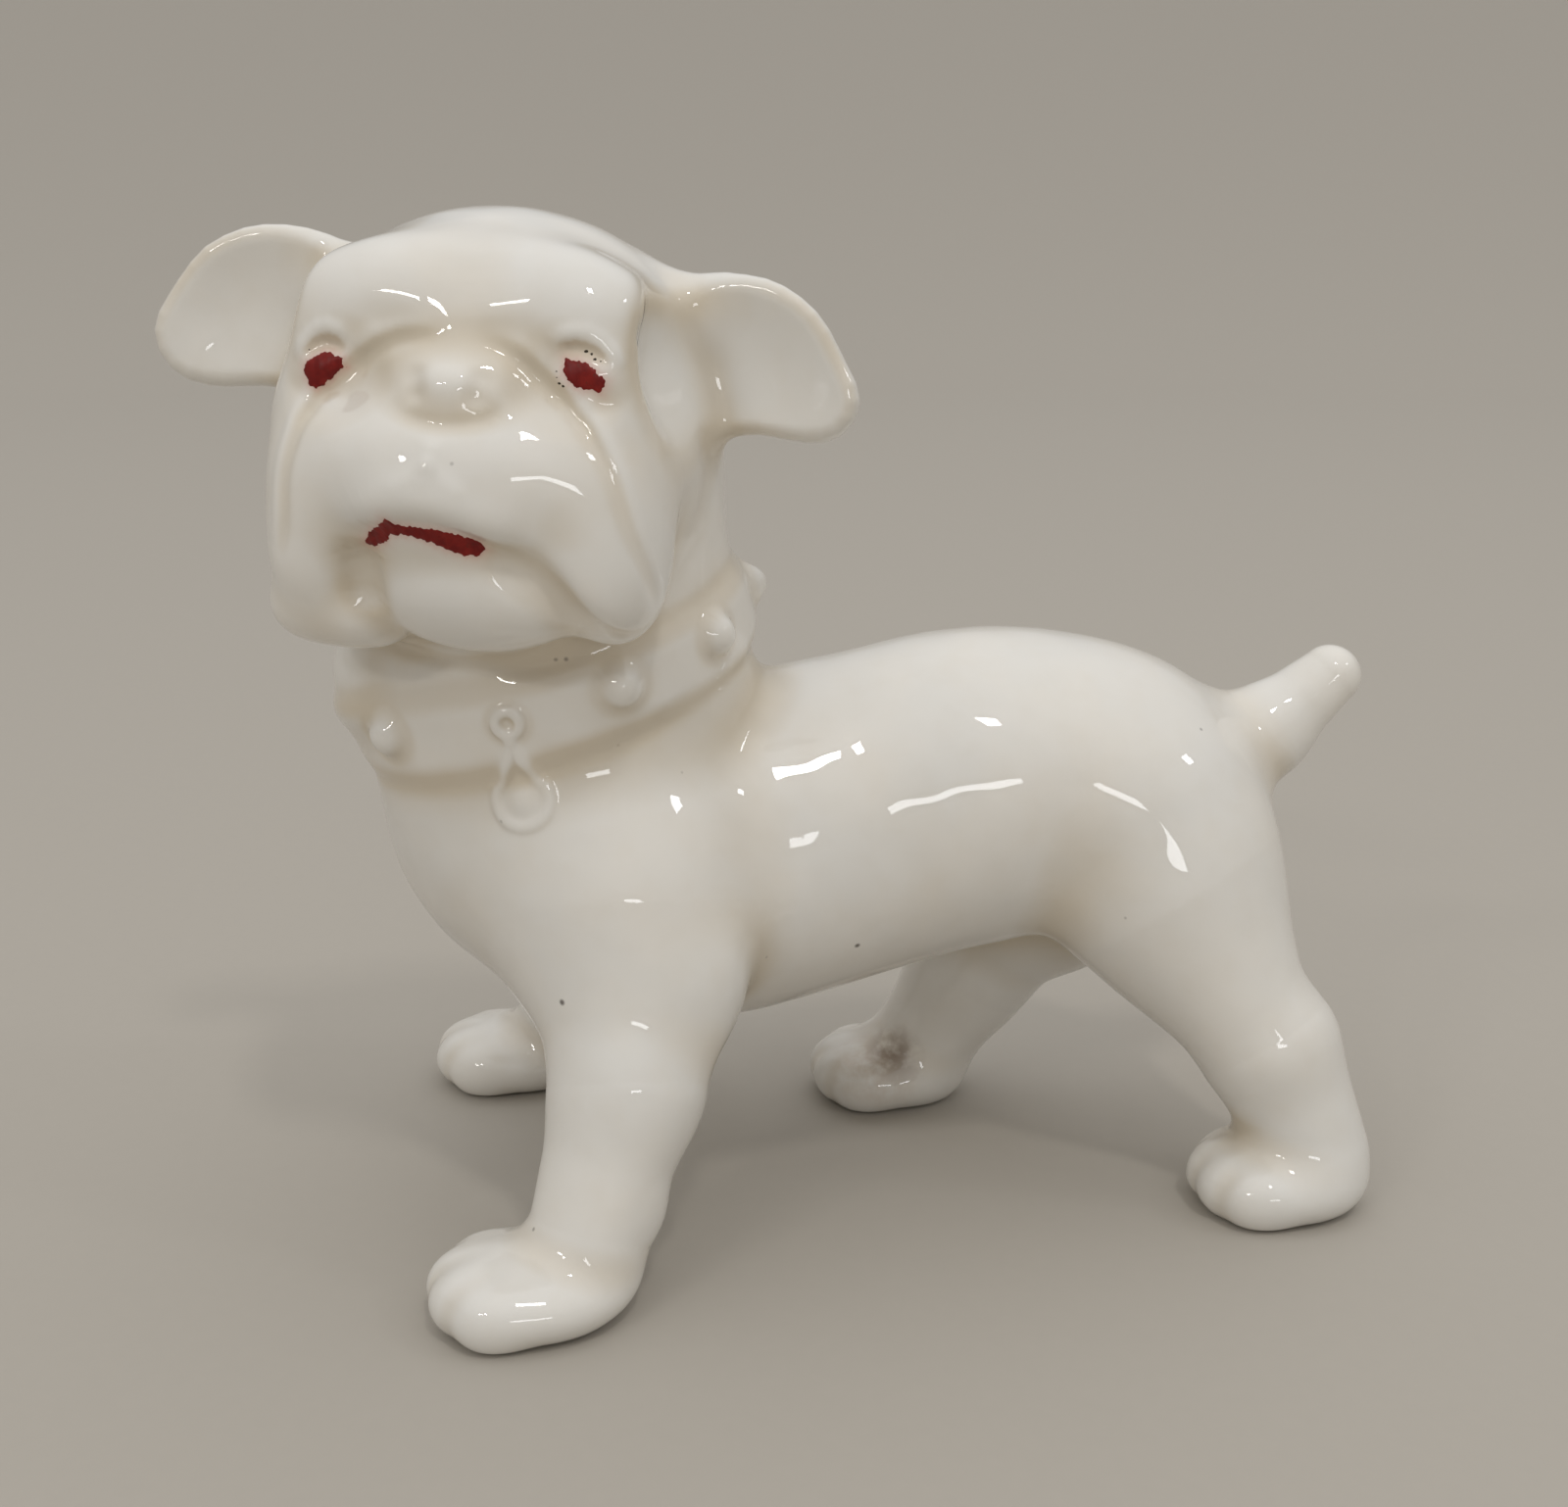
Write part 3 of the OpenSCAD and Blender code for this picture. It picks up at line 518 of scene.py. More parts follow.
@dataclass
class Head:
    """Skull, jaws, muzzle, flews, chin, nose, brows, eyes and ears, in the head's own frame."""

    at: Point = (10.0, -22.0, 63.5)
    turn: float = 72.0
    lift: float = 2.0
    tip: float = 3.7
    ear_thickness: float = 2.6
    blend: float = 4.0

    def pose(self) -> Pose:
        """The head's frame, turned to the dog's left, lifted and tipped."""
        turn, lift, tip = (math.radians(a) for a in (self.turn, self.lift, self.tip))
        forward = np.array([math.sin(turn), -math.cos(turn), 0])
        left = np.array([math.cos(turn), math.sin(turn), 0])
        up = np.array([0, 0, 1.0])
        lifted = forward * math.cos(lift) + up * math.sin(lift)
        up = up * math.cos(lift) - forward * math.sin(lift)
        axes = np.stack([left * math.cos(tip) - up * math.sin(tip), lifted,
                         up * math.cos(tip) + left * math.sin(tip)])
        return Pose(np.array(self.at), axes)

    def part(self) -> Part:
        """Lumps and strokes of the head."""
        pose = self.pose()

        def egg(at: Point, half: Point, blend: float, roll: float = 0.0, clay: Clay = Clay.ADD) -> Lump:
            """One lump in the head's frame."""
            return Lump(Egg(at, half, roll=roll, pose=pose), blend, clay)

        lumps = [
            egg((0, -2.5, 2.2), (14, 12.6, 11), self.blend),
            egg((0, -2, -4), (12.6, 10.6, 9), self.blend),
            egg((9.4, 3, -0.6), (4.6, 6.6, 7.6), self.blend),
            egg((-9.4, 3, -0.6), (4.6, 6.6, 7.6), self.blend),
            egg((0, 7.6, -4.4), (11.6, 6.8, 6.3), 3.5),
            egg((9.9, 6.2, -8.5), (4.2, 5.6, 6.4), 3.0, roll=-10),
            egg((-8.9, 6.3, -8.8), (4.2, 5.6, 6.7), 3.0, roll=4),
            egg((-10.5, 5.2, -14.2), (3.1, 3.6, 2.5), 2.0, roll=10),
            egg((-6.6, 5.4, -14.1), (3.4, 4.2, 2.7), 2.0),
            egg((1.6, 7.0, -10.9), (8.2, 5.3, 5.1), 1.8),
            egg((0.6, 9.7, 1.5), (3.5, 3.1, 2.0), 2.2),
            egg((5.9, 6.5, 6.6), (5, 2.6, 3), 5.0),
            egg((-5.2, 6.5, 6.4), (5, 2.6, 3), 5.0),
        ]
        for eye in ((8.8, 2.7), (-8.3, 1.9)):
            lumps.append(egg((eye[0], 12.4, eye[1] + 0.1), (3.0, 2.4, 2.2), 2.4, clay=Clay.PRESS))
            lumps.append(egg((eye[0], 8.3, eye[1]), (2.1, 1.7, 1.6), 1.2))
        for side, lift, out in ((1, 0.0, 0.0), (-1, 1.6, 0.2)):
            lumps += self.ear(pose, side, lift, out)
        return Part(lumps, self.strokes(pose))

    def ear(self, pose: Pose, side: int, lift: float, out: float) -> list[Lump]:
        """One ear: its flap, its root and the cup on its front.

        Args:
            pose: The head's frame.
            side: 1 for the dog's left, -1 for its right.
            lift: How much higher the flap is carried.
            out: How much further it reaches.

        Returns:
            The ear's lumps.
        """
        outline = [
            (10.5, 6.0 + 0.6 * lift), (14.0, 8.1 + 0.7 * lift), (17.6, 8.3 + 0.8 * lift),
            (20.7 + out, 6.7 + 0.9 * lift), (22.9 + 1.3 * out, 3.6 + 0.9 * lift),
            (23.7 + 1.5 * out, 1.9 + 0.7 * lift), (23.1 + 1.2 * out, 0.6 + 0.5 * lift),
            (21.4 + out, 0.1 + 0.4 * lift), (18.0 + 0.5 * out, 0.3 + 0.4 * lift),
            (12.8, 0.2 + 0.6 * lift),
        ]
        flap = Leaf(outline, side, self.ear_thickness, pose, -4.1, 0.24, 0.08)
        root = Limb((side * 9, -5, 6), (side * 14, -4, 6.4), 3.6, 2.4, pose)
        cup = Egg((side * 17.0, 3.5, 3.3 + 0.9 * lift), (6.4, 5.2, 5.6), pitch=-5, roll=side * 30, pose=pose)
        return [Lump(flap, 2.4), Lump(root, 2.4), Lump(cup, 3.0, Clay.PRESS)]

    def strokes(self, pose: Pose) -> list[Stroke]:
        """Folds and creases of the face."""
        def line(path: list[Point], width: float, depth: float, fade: float = 0.18) -> Stroke:
            """One stroke in the head's frame."""
            return Stroke(path, width, depth, pose, fade)

        muzzle_left = [(1.3, 10.6, 4.5), (4.6, 10.3, 3.3), (7.9, 10.2, 0.5), (9.8, 10.8, -1.5),
                       (11.2, 10.8, -4), (12.1, 10.2, -7), (12.7, 8.4, -10.2), (12.8, 6.4, -12.4)]
        muzzle_right = [(0.4, 10.6, 4.5), (-3.3, 10.4, 4.0), (-6.2, 9.9, 2.3), (-8.7, 10.3, 0),
                        (-9.8, 11.3, -2.2), (-10.3, 11.6, -5), (-10.4, 11.7, -8.2), (-10.6, 10.2, -11.5)]
        cheek = [(14.7, 0.6, -0.4), (14.8, -2.2, -4), (14.5, -2.6, -7), (14, -2, -9.3), (12.4, -0.3, -13.4)]
        flew_left = [(3.6, 13.2, -8.8), (5.75, 12.3, -9.9), (7.8, 11.2, -11.5), (9.8, 10, -13.8),
                     (10.4, 8.4, -15.2)]
        flew_right = [(-5.2, 12.9, -8.9), (-5.4, 13, -10.6), (-5.2, 12.6, -12.6), (-5.2, 10.8, -14.6)]
        lip = [(-6.2, 12.5, -8.6), (-4.2, 13.4, -6.6), (-1.5, 14, -5.6), (1.5, 14, -5.8),
               (4.6, 13.4, -7.2), (7, 12, -9)]
        lid_right = [(-11, 9.5, 2.2), (-10.4, 10, 3.4), (-9.0, 10, 4.3), (-7.6, 10, 4.3), (-6.3, 10, 3.2)]
        lid_left = [(6.2, 10, 4.4), (7.4, 10, 5.1), (8.9, 10, 5.2), (10.3, 9.5, 4.5), (11.3, 9, 3.0)]
        under_nose = [(-3.0, 12.2, 0.9), (-2.0, 12.6, -0.5), (0.6, 12.9, -1.0), (3.2, 12.5, -0.4),
                      (4.2, 12.1, 1.1)]
        return [
            line(muzzle_left, 0.6, 0.24),
            line([(x + 0.7, y, z + 0.7) for x, y, z in muzzle_left], 0.7, -0.12),
            line(muzzle_right, 0.6, 0.24),
            line([(x - 0.7, y, z + 0.7) for x, y, z in muzzle_right], 0.7, -0.12),
            line(cheek, 1.3, 0.25), line([(-x, y, z) for x, y, z in cheek], 1.3, 0.25),
            line(flew_left, 1.2, 0.9, 0.35),
            line([(x + 1.3, y + 0.3, z + 1.3) for x, y, z in flew_left], 1.3, -0.25, 0.4),
            line(flew_right, 1.2, 0.8, 0.35),
            line([(9.4, 10, -11.6), (11.4, 8.6, -13.2), (12.4, 6.6, -13.2)], 0.45, 0.22, 0.4),
            line(lip, 1.5, -0.6, 0.3),
            line([(x, y, z - 1.9) for x, y, z in lip], 1.0, 0.35, 0.2),
            line([(0.2, 13.8, -2.4), (0, 14.3, -4.2)], 0.6, -0.16, 0),
            line([(0.1, 14, -3.4), (-1.8, 14, -4.8)], 0.6, -0.1, 0),
            line([(0.1, 14, -3.4), (2.0, 14, -4.8)], 0.6, -0.1, 0),
            line(lid_right, 0.6, -0.25, 0.3),
            line(lid_left, 0.6, -0.25, 0.3),
            line([(-10.3, 10, 2.5), (-9.2, 10, 3.4), (-8.0, 10, 3.6), (-6.8, 10, 3.0)], 0.4, 0.2, 0.3),
            line([(6.8, 10, 4.1), (8.1, 10, 4.4), (9.4, 10, 4.2), (10.5, 9.6, 3.3)], 0.4, 0.2, 0.3),
            line([(-10, 9.5, 0.3), (-8.2, 10, -0.3), (-6.5, 10.4, 0.5)], 0.7, -0.14, 0.4),
            line([(6.5, 10.4, 1.3), (8.2, 10, 0.6), (10, 9.5, 1.0)], 0.7, -0.14, 0.4),
            line([(-1.7, 12.6, 2.1), (-1.4, 12.7, 1.2)], 0.8, 0.26, 0),
            line([(2.8, 12.3, 2.1), (2.6, 12.6, 1.2)], 0.8, 0.26, 0),
            line(under_nose, 0.6, 0.2, 0.3),
            line([(1.5, 10.2, 5.6), (1.3, 9.3, 7.6), (1.0, 8, 10)], 2.6, 0.14, 0.45),
            line([(-5.2, 10.2, 5.3), (-3.4, 10.3, 4.9)], 1.5, 0.12, 0),
            line([(2.9, 10.3, 4.9), (4.6, 10.2, 5.0)], 1.5, 0.12, 0),
            line([(12.3, 6, 6.6), (12.8, 6.2, 4.2)], 1.2, 0.14, 0.4),
        ]


@dataclass
class Legs:
    """The four legs, each with its paw, toes and pad."""

    front_track: float = 42.4
    front_stand: float = 21.4
    blend: float = 4.0
    paw_blend: float = 2.0
    toe_blend: float = 1.6

    def paw(self, at: Point, half: Point, heading: float = 0.0) -> tuple[list[Lump], list[Stroke]]:
        """A paw with four toes.

        Args:
            at: Middle of the paw.
            half: Its half sizes.
            heading: Turn towards the dog's left, in degrees.

        Returns:
            The paw's lumps and strokes.
        """
        a = math.radians(heading)
        axes = np.array([[math.cos(a), math.sin(a), 0], [-math.sin(a), math.cos(a), 0], [0, 0, 1]])
        pose = Pose(np.array(at, float), axes)
        lumps = [Lump(Egg((0, 0, 0), half, pose=pose), self.paw_blend)]
        toes = ((-0.64, -0.42, 0.0), (-0.25, -0.62, 0.05), (0.25, -0.62, 0.05), (0.64, -0.42, 0.0))
        for x, y, z in toes:
            toe = Egg((x * half[0], y * half[1], z * half[2] - 0.3), (1.75, 2.5, 0.64 * half[2]), pose=pose)
            lumps.append(Lump(toe, self.toe_blend))
        strokes = []
        for x, y in ((-0.48, -0.86), (0.0, -1.02), (0.48, -0.86)):
            front = (x * half[0], y * half[1], -1.6)
            top = (0.9 * x * half[0], (y + 0.3) * half[1], 0.5 * half[2])
            mid = (0.96 * x * half[0], (y + 0.06) * half[1], 0.0)
            strokes.append(Stroke([front, mid, top], 0.7, 0.07, pose, fade=0.5))
        return lumps, strokes

    def front(self, side: int) -> Part:
        """A front leg.

        Args:
            side: 1 for the dog's left, -1 for its right.

        Returns:
            The leg's lumps and strokes.
        """
        s = side
        lumps = [
            Lump(Limb((11 * s, -14, 26), (16.4 * s, -14.4, 15), 7.3, 5.2), self.blend),
            Lump(Limb((16.4 * s, -14.4, 15), (20 * s, -17.6, 5.5), 5.2, 4.4), 2.5),
            Lump(Egg((15.4 * s, -9.4, 21.8), (2.4, 2.8, 3.8)), 4.5),
            Lump(Egg((20.0 * s, -13.9, 7.2), (1.2, 1.1, 1.6)), 2.2),
        ]
        at = (s * self.front_track / 2, -self.front_stand - 0.3, 2.4)
        paw, strokes = self.paw(at, (6.2, 7.3, 3.3), 4.0 * s)
        return Part(lumps + paw, strokes)

    def hind_left(self) -> Part:
        """The hind left leg, stretched out behind."""
        lumps = [
            Lump(Limb((7, 29.5, 24), (11.3, 35.8, 13.5), 7.2, 5.1), self.blend),
            Lump(Limb((11.3, 37.2, 12.5), (12.8, 39.6, 4.5), 4.9, 4.8), 2.5),
        ]
        paw, strokes = self.paw((13, 37.3, 2.4), (5.9, 6.7, 3.4))
        return Part(lumps + paw, strokes)

    def hind_right(self) -> Part:
        """The hind right leg, in mid stride."""
        lumps = [
            Lump(Limb((-7.5, 25, 23), (-11, 18, 12), 7.2, 5.0), self.blend),
            Lump(Limb((-11, 18, 12), (-12.5, 13.5, 4), 5.0, 4.5), 2.5),
        ]
        paw, strokes = self.paw((-12.8, 11, 2.4), (6.0, 6.6, 3.4))
        return Part(lumps + paw, strokes)


@dataclass
class Tail:
    """The short tail, carried high."""

    root: Point = (0, 33.5, 32.8)
    bend: Point = (0, 39.4, 35.6)
    tip: Point = (0.5, 44.4, 40.1)

    def part(self) -> Part:
        """Lumps of the tail."""
        return Part([Lump(Limb(self.root, self.bend, 4.0, 3.5), 4.0),
                     Lump(Limb(self.bend, self.tip, 3.5, 2.5), 1.5)])


@dataclass
class Collar:
    """The strap round the neck, its studs, and the ring and tag that hang from it."""

    at: Point = (1.7, -18.0, 44.3)
    slope: Point = (0.13, -0.31, 1.0)
    width: float = 5.2
    thickness: float = 0.55
    stud_turns: tuple[float, ...] = (-59, 16, 52, 88, 128, 170, 214, 258)
    stud_rise: float = 0.6
    stud_diameter: float = 2.8
    ring_at: Point = (15.0, -22.1, 41.9)
    ring_radius: float = 0.85
    wire: float = 0.36
    tag_at: Point = (14.2, -21.2, 36.2)
    tag_top: Point = (14.8, -21.9, 40.4)
    tag_radius: float = 1.95
    rim: float = 0.42

    def __post_init__(self) -> None:
        """Work out the strap's axis, and how far from its middle line the neck's clay begins."""
        self.up = np.array(self.slope) / np.linalg.norm(self.slope)
        self.room = self.width / 2 + 0.9

    def strap(self, points: Array, skin: Array) -> Array:
        """Distance to the strap, which follows the skin under it.

        Args:
            points: Where the distances are taken.
            skin: Distances to the skin of neck and torso there.

        Returns:
            Distances to the strap.
        """
        height = np.abs((points - np.array(self.at, Fine)) @ self.up.astype(Fine)) - self.width / 2
        return -soft_min(-(skin - self.thickness), -height, 1.5)


class Paint:
    """A patch of red enamel, brushed on the face before the last firing, with chipped edges."""

    # Thickness of the enamel, and how far its sheet goes on below the glaze
    coat = 0.07
    under = 0.35
    # Size of the sheet's squares, and how far it goes on beyond the patch
    step = 0.09
    room = 0.45
    # Width over which the coat runs out, how far it sinks in, and the depth of the brush's marks
    soft_edge = 0.12
    sunk = 0.02
    brushed = 0.012
    # How far the pink blush is looked for, and the distance over which it fades
    blush_room = 1.5
    blush_fade = 0.28

    def __init__(self, name: str, outline: list[tuple[float, float]], pose: Pose,
                 flecks: tuple[tuple[float, float, float], ...] = ()) -> None:
        """Lay out the patch.

        Args:
            name: The patch's name.
            outline: Its corners, as left and up places on the face.
            pose: The head's frame.
            flecks: Left and up places of loose dark flecks round it, with their radii.
        """
        self.name, self.pose, self.flecks = name, pose, flecks
        self.outline = np.array(outline)

    def edge(self, flat: Array) -> Array:
        """How far inside the patch's edge each left and up place lies, below zero outside."""
        best, inside = np.full(len(flat), 1e9), np.zeros(len(flat), bool)
        for a, b in zip(self.outline, np.roll(self.outline, -1, axis=0)):
            run, off = b - a, flat - a
            along = np.clip(off @ run / (run @ run), 0, 1)
            best = np.minimum(best, np.linalg.norm(off - along[:, None] * run, axis=1))
            crosses = (a[1] > flat[:, 1]) != (b[1] > flat[:, 1])
            at = a[0] + (flat[:, 1] - a[1]) / (b[1] - a[1] + 1e-12) * run[0]
            inside ^= crosses & (flat[:, 0] < at)
        depth = np.where(inside, best, -best)
        x, y = flat.T
        coarse = 0.07 * np.sin(7.1 * x + 3.0 * y) * np.sin(6.3 * y - 2.0 * x)
        fine = 0.05 * np.sin(17 * x) * np.sin(15 * y + 1)
        return depth + (coarse + fine)

    def fleck(self, flat: Array) -> Array:
        """How far inside a loose fleck each place lies."""
        best = np.full(len(flat), -9.0)
        for x, y, r in self.flecks:
            best = np.maximum(best, r - np.hypot(flat[:, 0] - x, (flat[:, 1] - y) * 1.4))
        return best

    def blush(self, points: Array) -> Array:
        """How strongly the red has bled into the glaze at each point of the figure."""
        local = (points - self.pose.at) @ self.pose.axes.T
        low, high = self.outline.min(0) - self.blush_room, self.outline.max(0) + self.blush_room
        flat = local[:, [0, 2]]
        near = ((flat > low) & (flat < high)).all(1) & (local[:, 1] > 5)
        out = np.zeros(len(points))
        if near.any():
            out[near] = np.exp(-np.clip(-self.edge(flat[near]), 0, None) / self.blush_fade)
        return out

    def sheet(self, figure: "Figure") -> bpy.types.Object:
        """Build the closed sheet of enamel.

        Args:
            figure: The figure whose face carries it.

        Returns:
            The sheet, in millimetres, with an attribute that tells its dark flecks.
        """
        corners = [self.outline] + [np.array([[x, y]]) for x, y, _ in self.flecks]
        low, high = np.vstack(corners).min(0) - self.room, np.vstack(corners).max(0) + self.room
        size = high - low
        bpy.ops.object.select_all(action="DESELECT")
        bpy.ops.mesh.primitive_grid_add(
            x_subdivisions=int(size[0] / self.step), y_subdivisions=int(size[1] / self.step), size=1.0)
        sheet = bpy.context.object
        bpy.ops.object.mode_set(mode="EDIT")
        bpy.ops.mesh.select_all(action="SELECT")
        bpy.ops.mesh.extrude_region_move(TRANSFORM_OT_translate={"value": (0, 0, 1)})
        bpy.ops.mesh.select_all(action="SELECT")
        bpy.ops.mesh.normals_make_consistent(inside=False)
        bpy.ops.object.mode_set(mode="OBJECT")
        sheet.name = self.name + "_clay"
        places = vertices(sheet.data).astype(float)
        flat = low + (places[:, :2] + 0.5) * size
        fleck = self.fleck(flat)
        depth = np.maximum(self.edge(flat), fleck)
        skin = self.reach_skin(figure, flat)
        _, out = figure.slope(skin, SLOPE_STEP)
        height = self.coat * np.clip(depth / self.soft_edge, -2.6, 1.0) - self.sunk
        height += self.brushed * np.sin(9 * flat[:, 0] + 2 * flat[:, 1])
        height = np.where(places[:, 2] > 0.5, height, -self.under)
        move(sheet.data, skin + height[:, None] * out)
        note(sheet.data, "fleck", fleck > -self.soft_edge)
        return sheet

    def reach_skin(self, figure: "Figure", flat: Array) -> Array:
        """The points of the face's skin that lie straight behind left and up places.

        Args:
            figure: The figure whose face is looked for.
            flat: The left and up places.

        Returns:
            The points, in the figure's frame.
        """
        local = np.column_stack([flat[:, 0], np.full(len(flat), 19.0), flat[:, 1]])
        points = self.pose.out(local)
        back = -self.pose.axes[1]
        for _ in range(60):
            points += np.clip(0.7 * figure.gap(points), -0.5, 0.6)[:, None] * back
        return points


class Figure:
    """The whole clay figure: every part melted together, with its strokes."""

    # How far the hand smoothed skin wanders in and out
    wobble = 0.012

    def __init__(self) -> None:
        """Lay out all the parts, and settle each stroke's path on the clay."""
        legs = Legs()
        self.torso, self.neck, self.head = Torso().part(), Neck().part(), Head().part()
        self.legs = [legs.front(1), legs.front(-1), legs.hind_left(), legs.hind_right()]
        self.tail = Tail().part()
        self.collar = Collar()
        self.parts = [self.torso, self.neck, *self.legs, self.tail, self.head]
        self.strokes: list[Stroke] = []
        self.trims: list[Lump] = []
        self.studs: list[tuple[Array, Array]] = []
        strokes = [stroke for part in self.parts for stroke in part.strokes]
        for stroke in strokes:
            stroke.path = self.settle(stroke.path)
        self.trims = self.hang_trims()
        strokes += self.hang_tag()
        self.strokes = strokes
        self.paints = self.brush()

    def gap(self, points: Array) -> Array:
        """Distance from each point to the figure's skin."""
        points = points.astype(Fine)
        cloud = Cloud(points)
        torso, neck = self.torso.gap(cloud), self.neck.gap(cloud)
        gaps = soft_min(torso, neck, 4.0)
        for part in [*self.legs, self.tail]:
            for lump in part.lumps:
                lump.work(cloud, gaps)
        gaps = soft_min(gaps, self.head.gap(cloud), 2.0)
        gaps = soft_min(gaps, self.collar.strap(points, soft_min(neck, torso, 3.0)), 1.6)
        for lump in self.trims:
            lump.work(cloud, gaps)
        for stroke in self.strokes:
            stroke.mark(cloud, gaps)
        x, y, z = points.T
        gaps += self.wobble * (np.sin(0.83 * x + 0.61 * y + 1.0) * np.sin(0.71 * z - 0.42 * y)
                               + 0.6 * np.sin(1.31 * y + 0.9 * z) * np.sin(1.13 * x - 0.8 * z + 2.0))
        return -soft_min(-gaps, z, 0.5)

    def slope(self, points: Array, step: float) -> tuple[Array, Array]:
        """Mean gap and outward direction at each point.

        Args:
            points: Where they are taken.
            step: Distance over which the slope is measured.

        Returns:
            The mean of the gaps round each point, and the unit direction away from the clay.
        """
        corners = np.array([[1, -1, -1], [-1, -1, 1], [-1, 1, -1], [1, 1, 1]], float)
        gaps = self.gap((points + step * corners[:, None]).reshape(-1, 3)).reshape(4, -1).astype(float)
        out = gaps.T @ corners
        return gaps.mean(0), out / (np.linalg.norm(out, axis=1)[:, None] + 1e-12)

    def settle(self, points: Array, rounds: int = 4, step: float = SLOPE_STEP, limit: float = 9.0) -> Array:
        """Move points onto the skin.

        Args:
            points: Points near the skin.
            rounds: How many times each is moved.
            step: Distance over which the slope is measured.
            limit: Points further from the skin than this stay.

        Returns:
            The moved points.
        """
        points = points.copy()
        g, out = self.slope(points, step)
        near = np.abs(g) < limit
        points[near] -= np.clip(g, -1.5, 1.5)[near, None] * out[near]
        for i in range(1, rounds):
            if i == 3:
                g, out = self.slope(points, step)
            else:
                g = self.gap(points)
            points[near] -= np.clip(g, -1.5, 1.5)[near, None] * out[near]
        return points

    def seat(self, turn: float, height: float) -> tuple[Array, Array]:
        """A place on the strap.

        Args:
            turn: Degrees round the neck from the dog's left towards its tail.
            height: How far above the strap's middle line.

        Returns:
            The point on the clay and the direction away from it.
        """
        a = math.radians(turn)
        out = np.array([math.cos(a), math.sin(a), 0.0])
        out -= (out @ self.collar.up) * self.collar.up
        out /= np.linalg.norm(out)
        at = np.array(self.collar.at) + height * self.collar.up
        t = 22.0
        for _ in range(40):
            g = self.gap((at + t * out)[None])[0]
            t -= 0.8 * g
        return at + t * out, out

    def hang_trims(self) -> list[Lump]:
        """Studs round the strap, and the ring on it."""
        collar = self.collar
        lumps = []
        for turn in collar.stud_turns:
            at, out = self.seat(turn, collar.stud_rise)
            self.studs.append((at, out))
            r = collar.stud_diameter / 2
            lumps.append(Lump(Egg(tuple(at - 0.1 * r * out), (r, r, r)), 1.0))
        self.ring_at = self.settle(np.array([collar.ring_at]))[0]
        out = self.slope(self.ring_at[None], 0.6)[1][0]
        lumps.append(Lump(Loop(tuple(self.ring_at), out, collar.ring_radius, collar.wire), 0.5))
        return lumps

    def hang_tag(self) -> list[Stroke]:
        """The drop shaped tag: a raised rim round a flat bead."""
        collar = self.collar
        self.tag_at, top = self.settle(np.array([collar.tag_at, collar.tag_top]))
        out = self.slope(self.tag_at[None], 0.6)[1][0]
        up = top - self.tag_at
        up -= (up @ out) * out
        up /= np.linalg.norm(up)
        across = np.cross(up, out)
        angles = np.radians(np.linspace(52, -232, 13))
        bow = [self.tag_at + collar.tag_radius * (np.cos(a) * across + np.sin(a) * up) for a in angles]
        rim = self.settle(np.array([top, *bow, top]))
        marks = [
            (self.settle(curve(rim, 0.45)), collar.rim, -0.34),
            (np.array([self.tag_at - 0.1 * up, self.tag_at + 0.1 * up]), 1.05, -0.3),
            (np.array([self.tag_at, self.tag_at + 0.7 * (top - self.tag_at)]), 1.2, -0.12),
        ]
        return [Stroke(path, width, depth, fade=0, smooth=False) for path, width, depth in marks]

    def brush(self) -> list[Paint]:
        """Lay out the red of both eyes and of the mouth."""
        pose = Head().pose()
        right = [(-9.9, 2.1), (-9.3, 2.55), (-8.7, 2.9), (-8.1, 3.05), (-7.6, 2.85), (-7.1, 2.7), (-7.2, 2.3),
                 (-6.95, 2.1), (-7.5, 1.75), (-7.9, 1.3), (-8.5, 0.8), (-8.9, 0.6), (-9.4, 0.8), (-9.75, 1.3)]
        left = [(7.4, 3.75), (7.9, 3.7), (8.5, 3.65), (9.0, 3.5), (9.4, 3.2), (9.8, 2.9), (10.2, 2.5),
                (9.9, 1.7), (9.5, 1.9), (8.8, 1.85), (8.3, 2.0), (7.8, 2.3), (7.4, 2.7), (7.4, 3.2)]
        mouth = [(-5.0, -8.9), (-4.1, -7.8), (-3.5, -7.5), (-2.7, -6.85), (-2.2, -7.2), (-1.3, -7.25),
                 (0.2, -7.3), (1.4, -7.4), (2.3, -7.65), (3.2, -7.8), (3.55, -8.5), (3.0, -8.95),
                 (2.3, -8.95), (1.2, -8.7), (0.1, -8.3), (-0.9, -8.0), (-2.0, -7.95), (-2.8, -8.1),
                 (-3.0, -8.5), (-3.6, -8.8), (-4.3, -9.05)]
        flecks = ((8.7, 4.25, 0.2), (9.1, 4.1, 0.14), (9.35, 3.8, 0.16), (9.7, 3.7, 0.12), (6.95, 2.9, 0.13),
                  (7.0, 2.5, 0.12), (7.15, 2.15, 0.16), (7.45, 2.0, 0.13), (6.6, 3.0, 0.07), (8.3, 4.4, 0.07))
        return [Paint("right_eye_paint", right, pose, ((-9.6, 3.0, 0.1), (-8.6, 3.3, 0.08))),
                Paint("left_eye_paint", left, pose, flecks), Paint("mouth_paint", mouth, pose)]


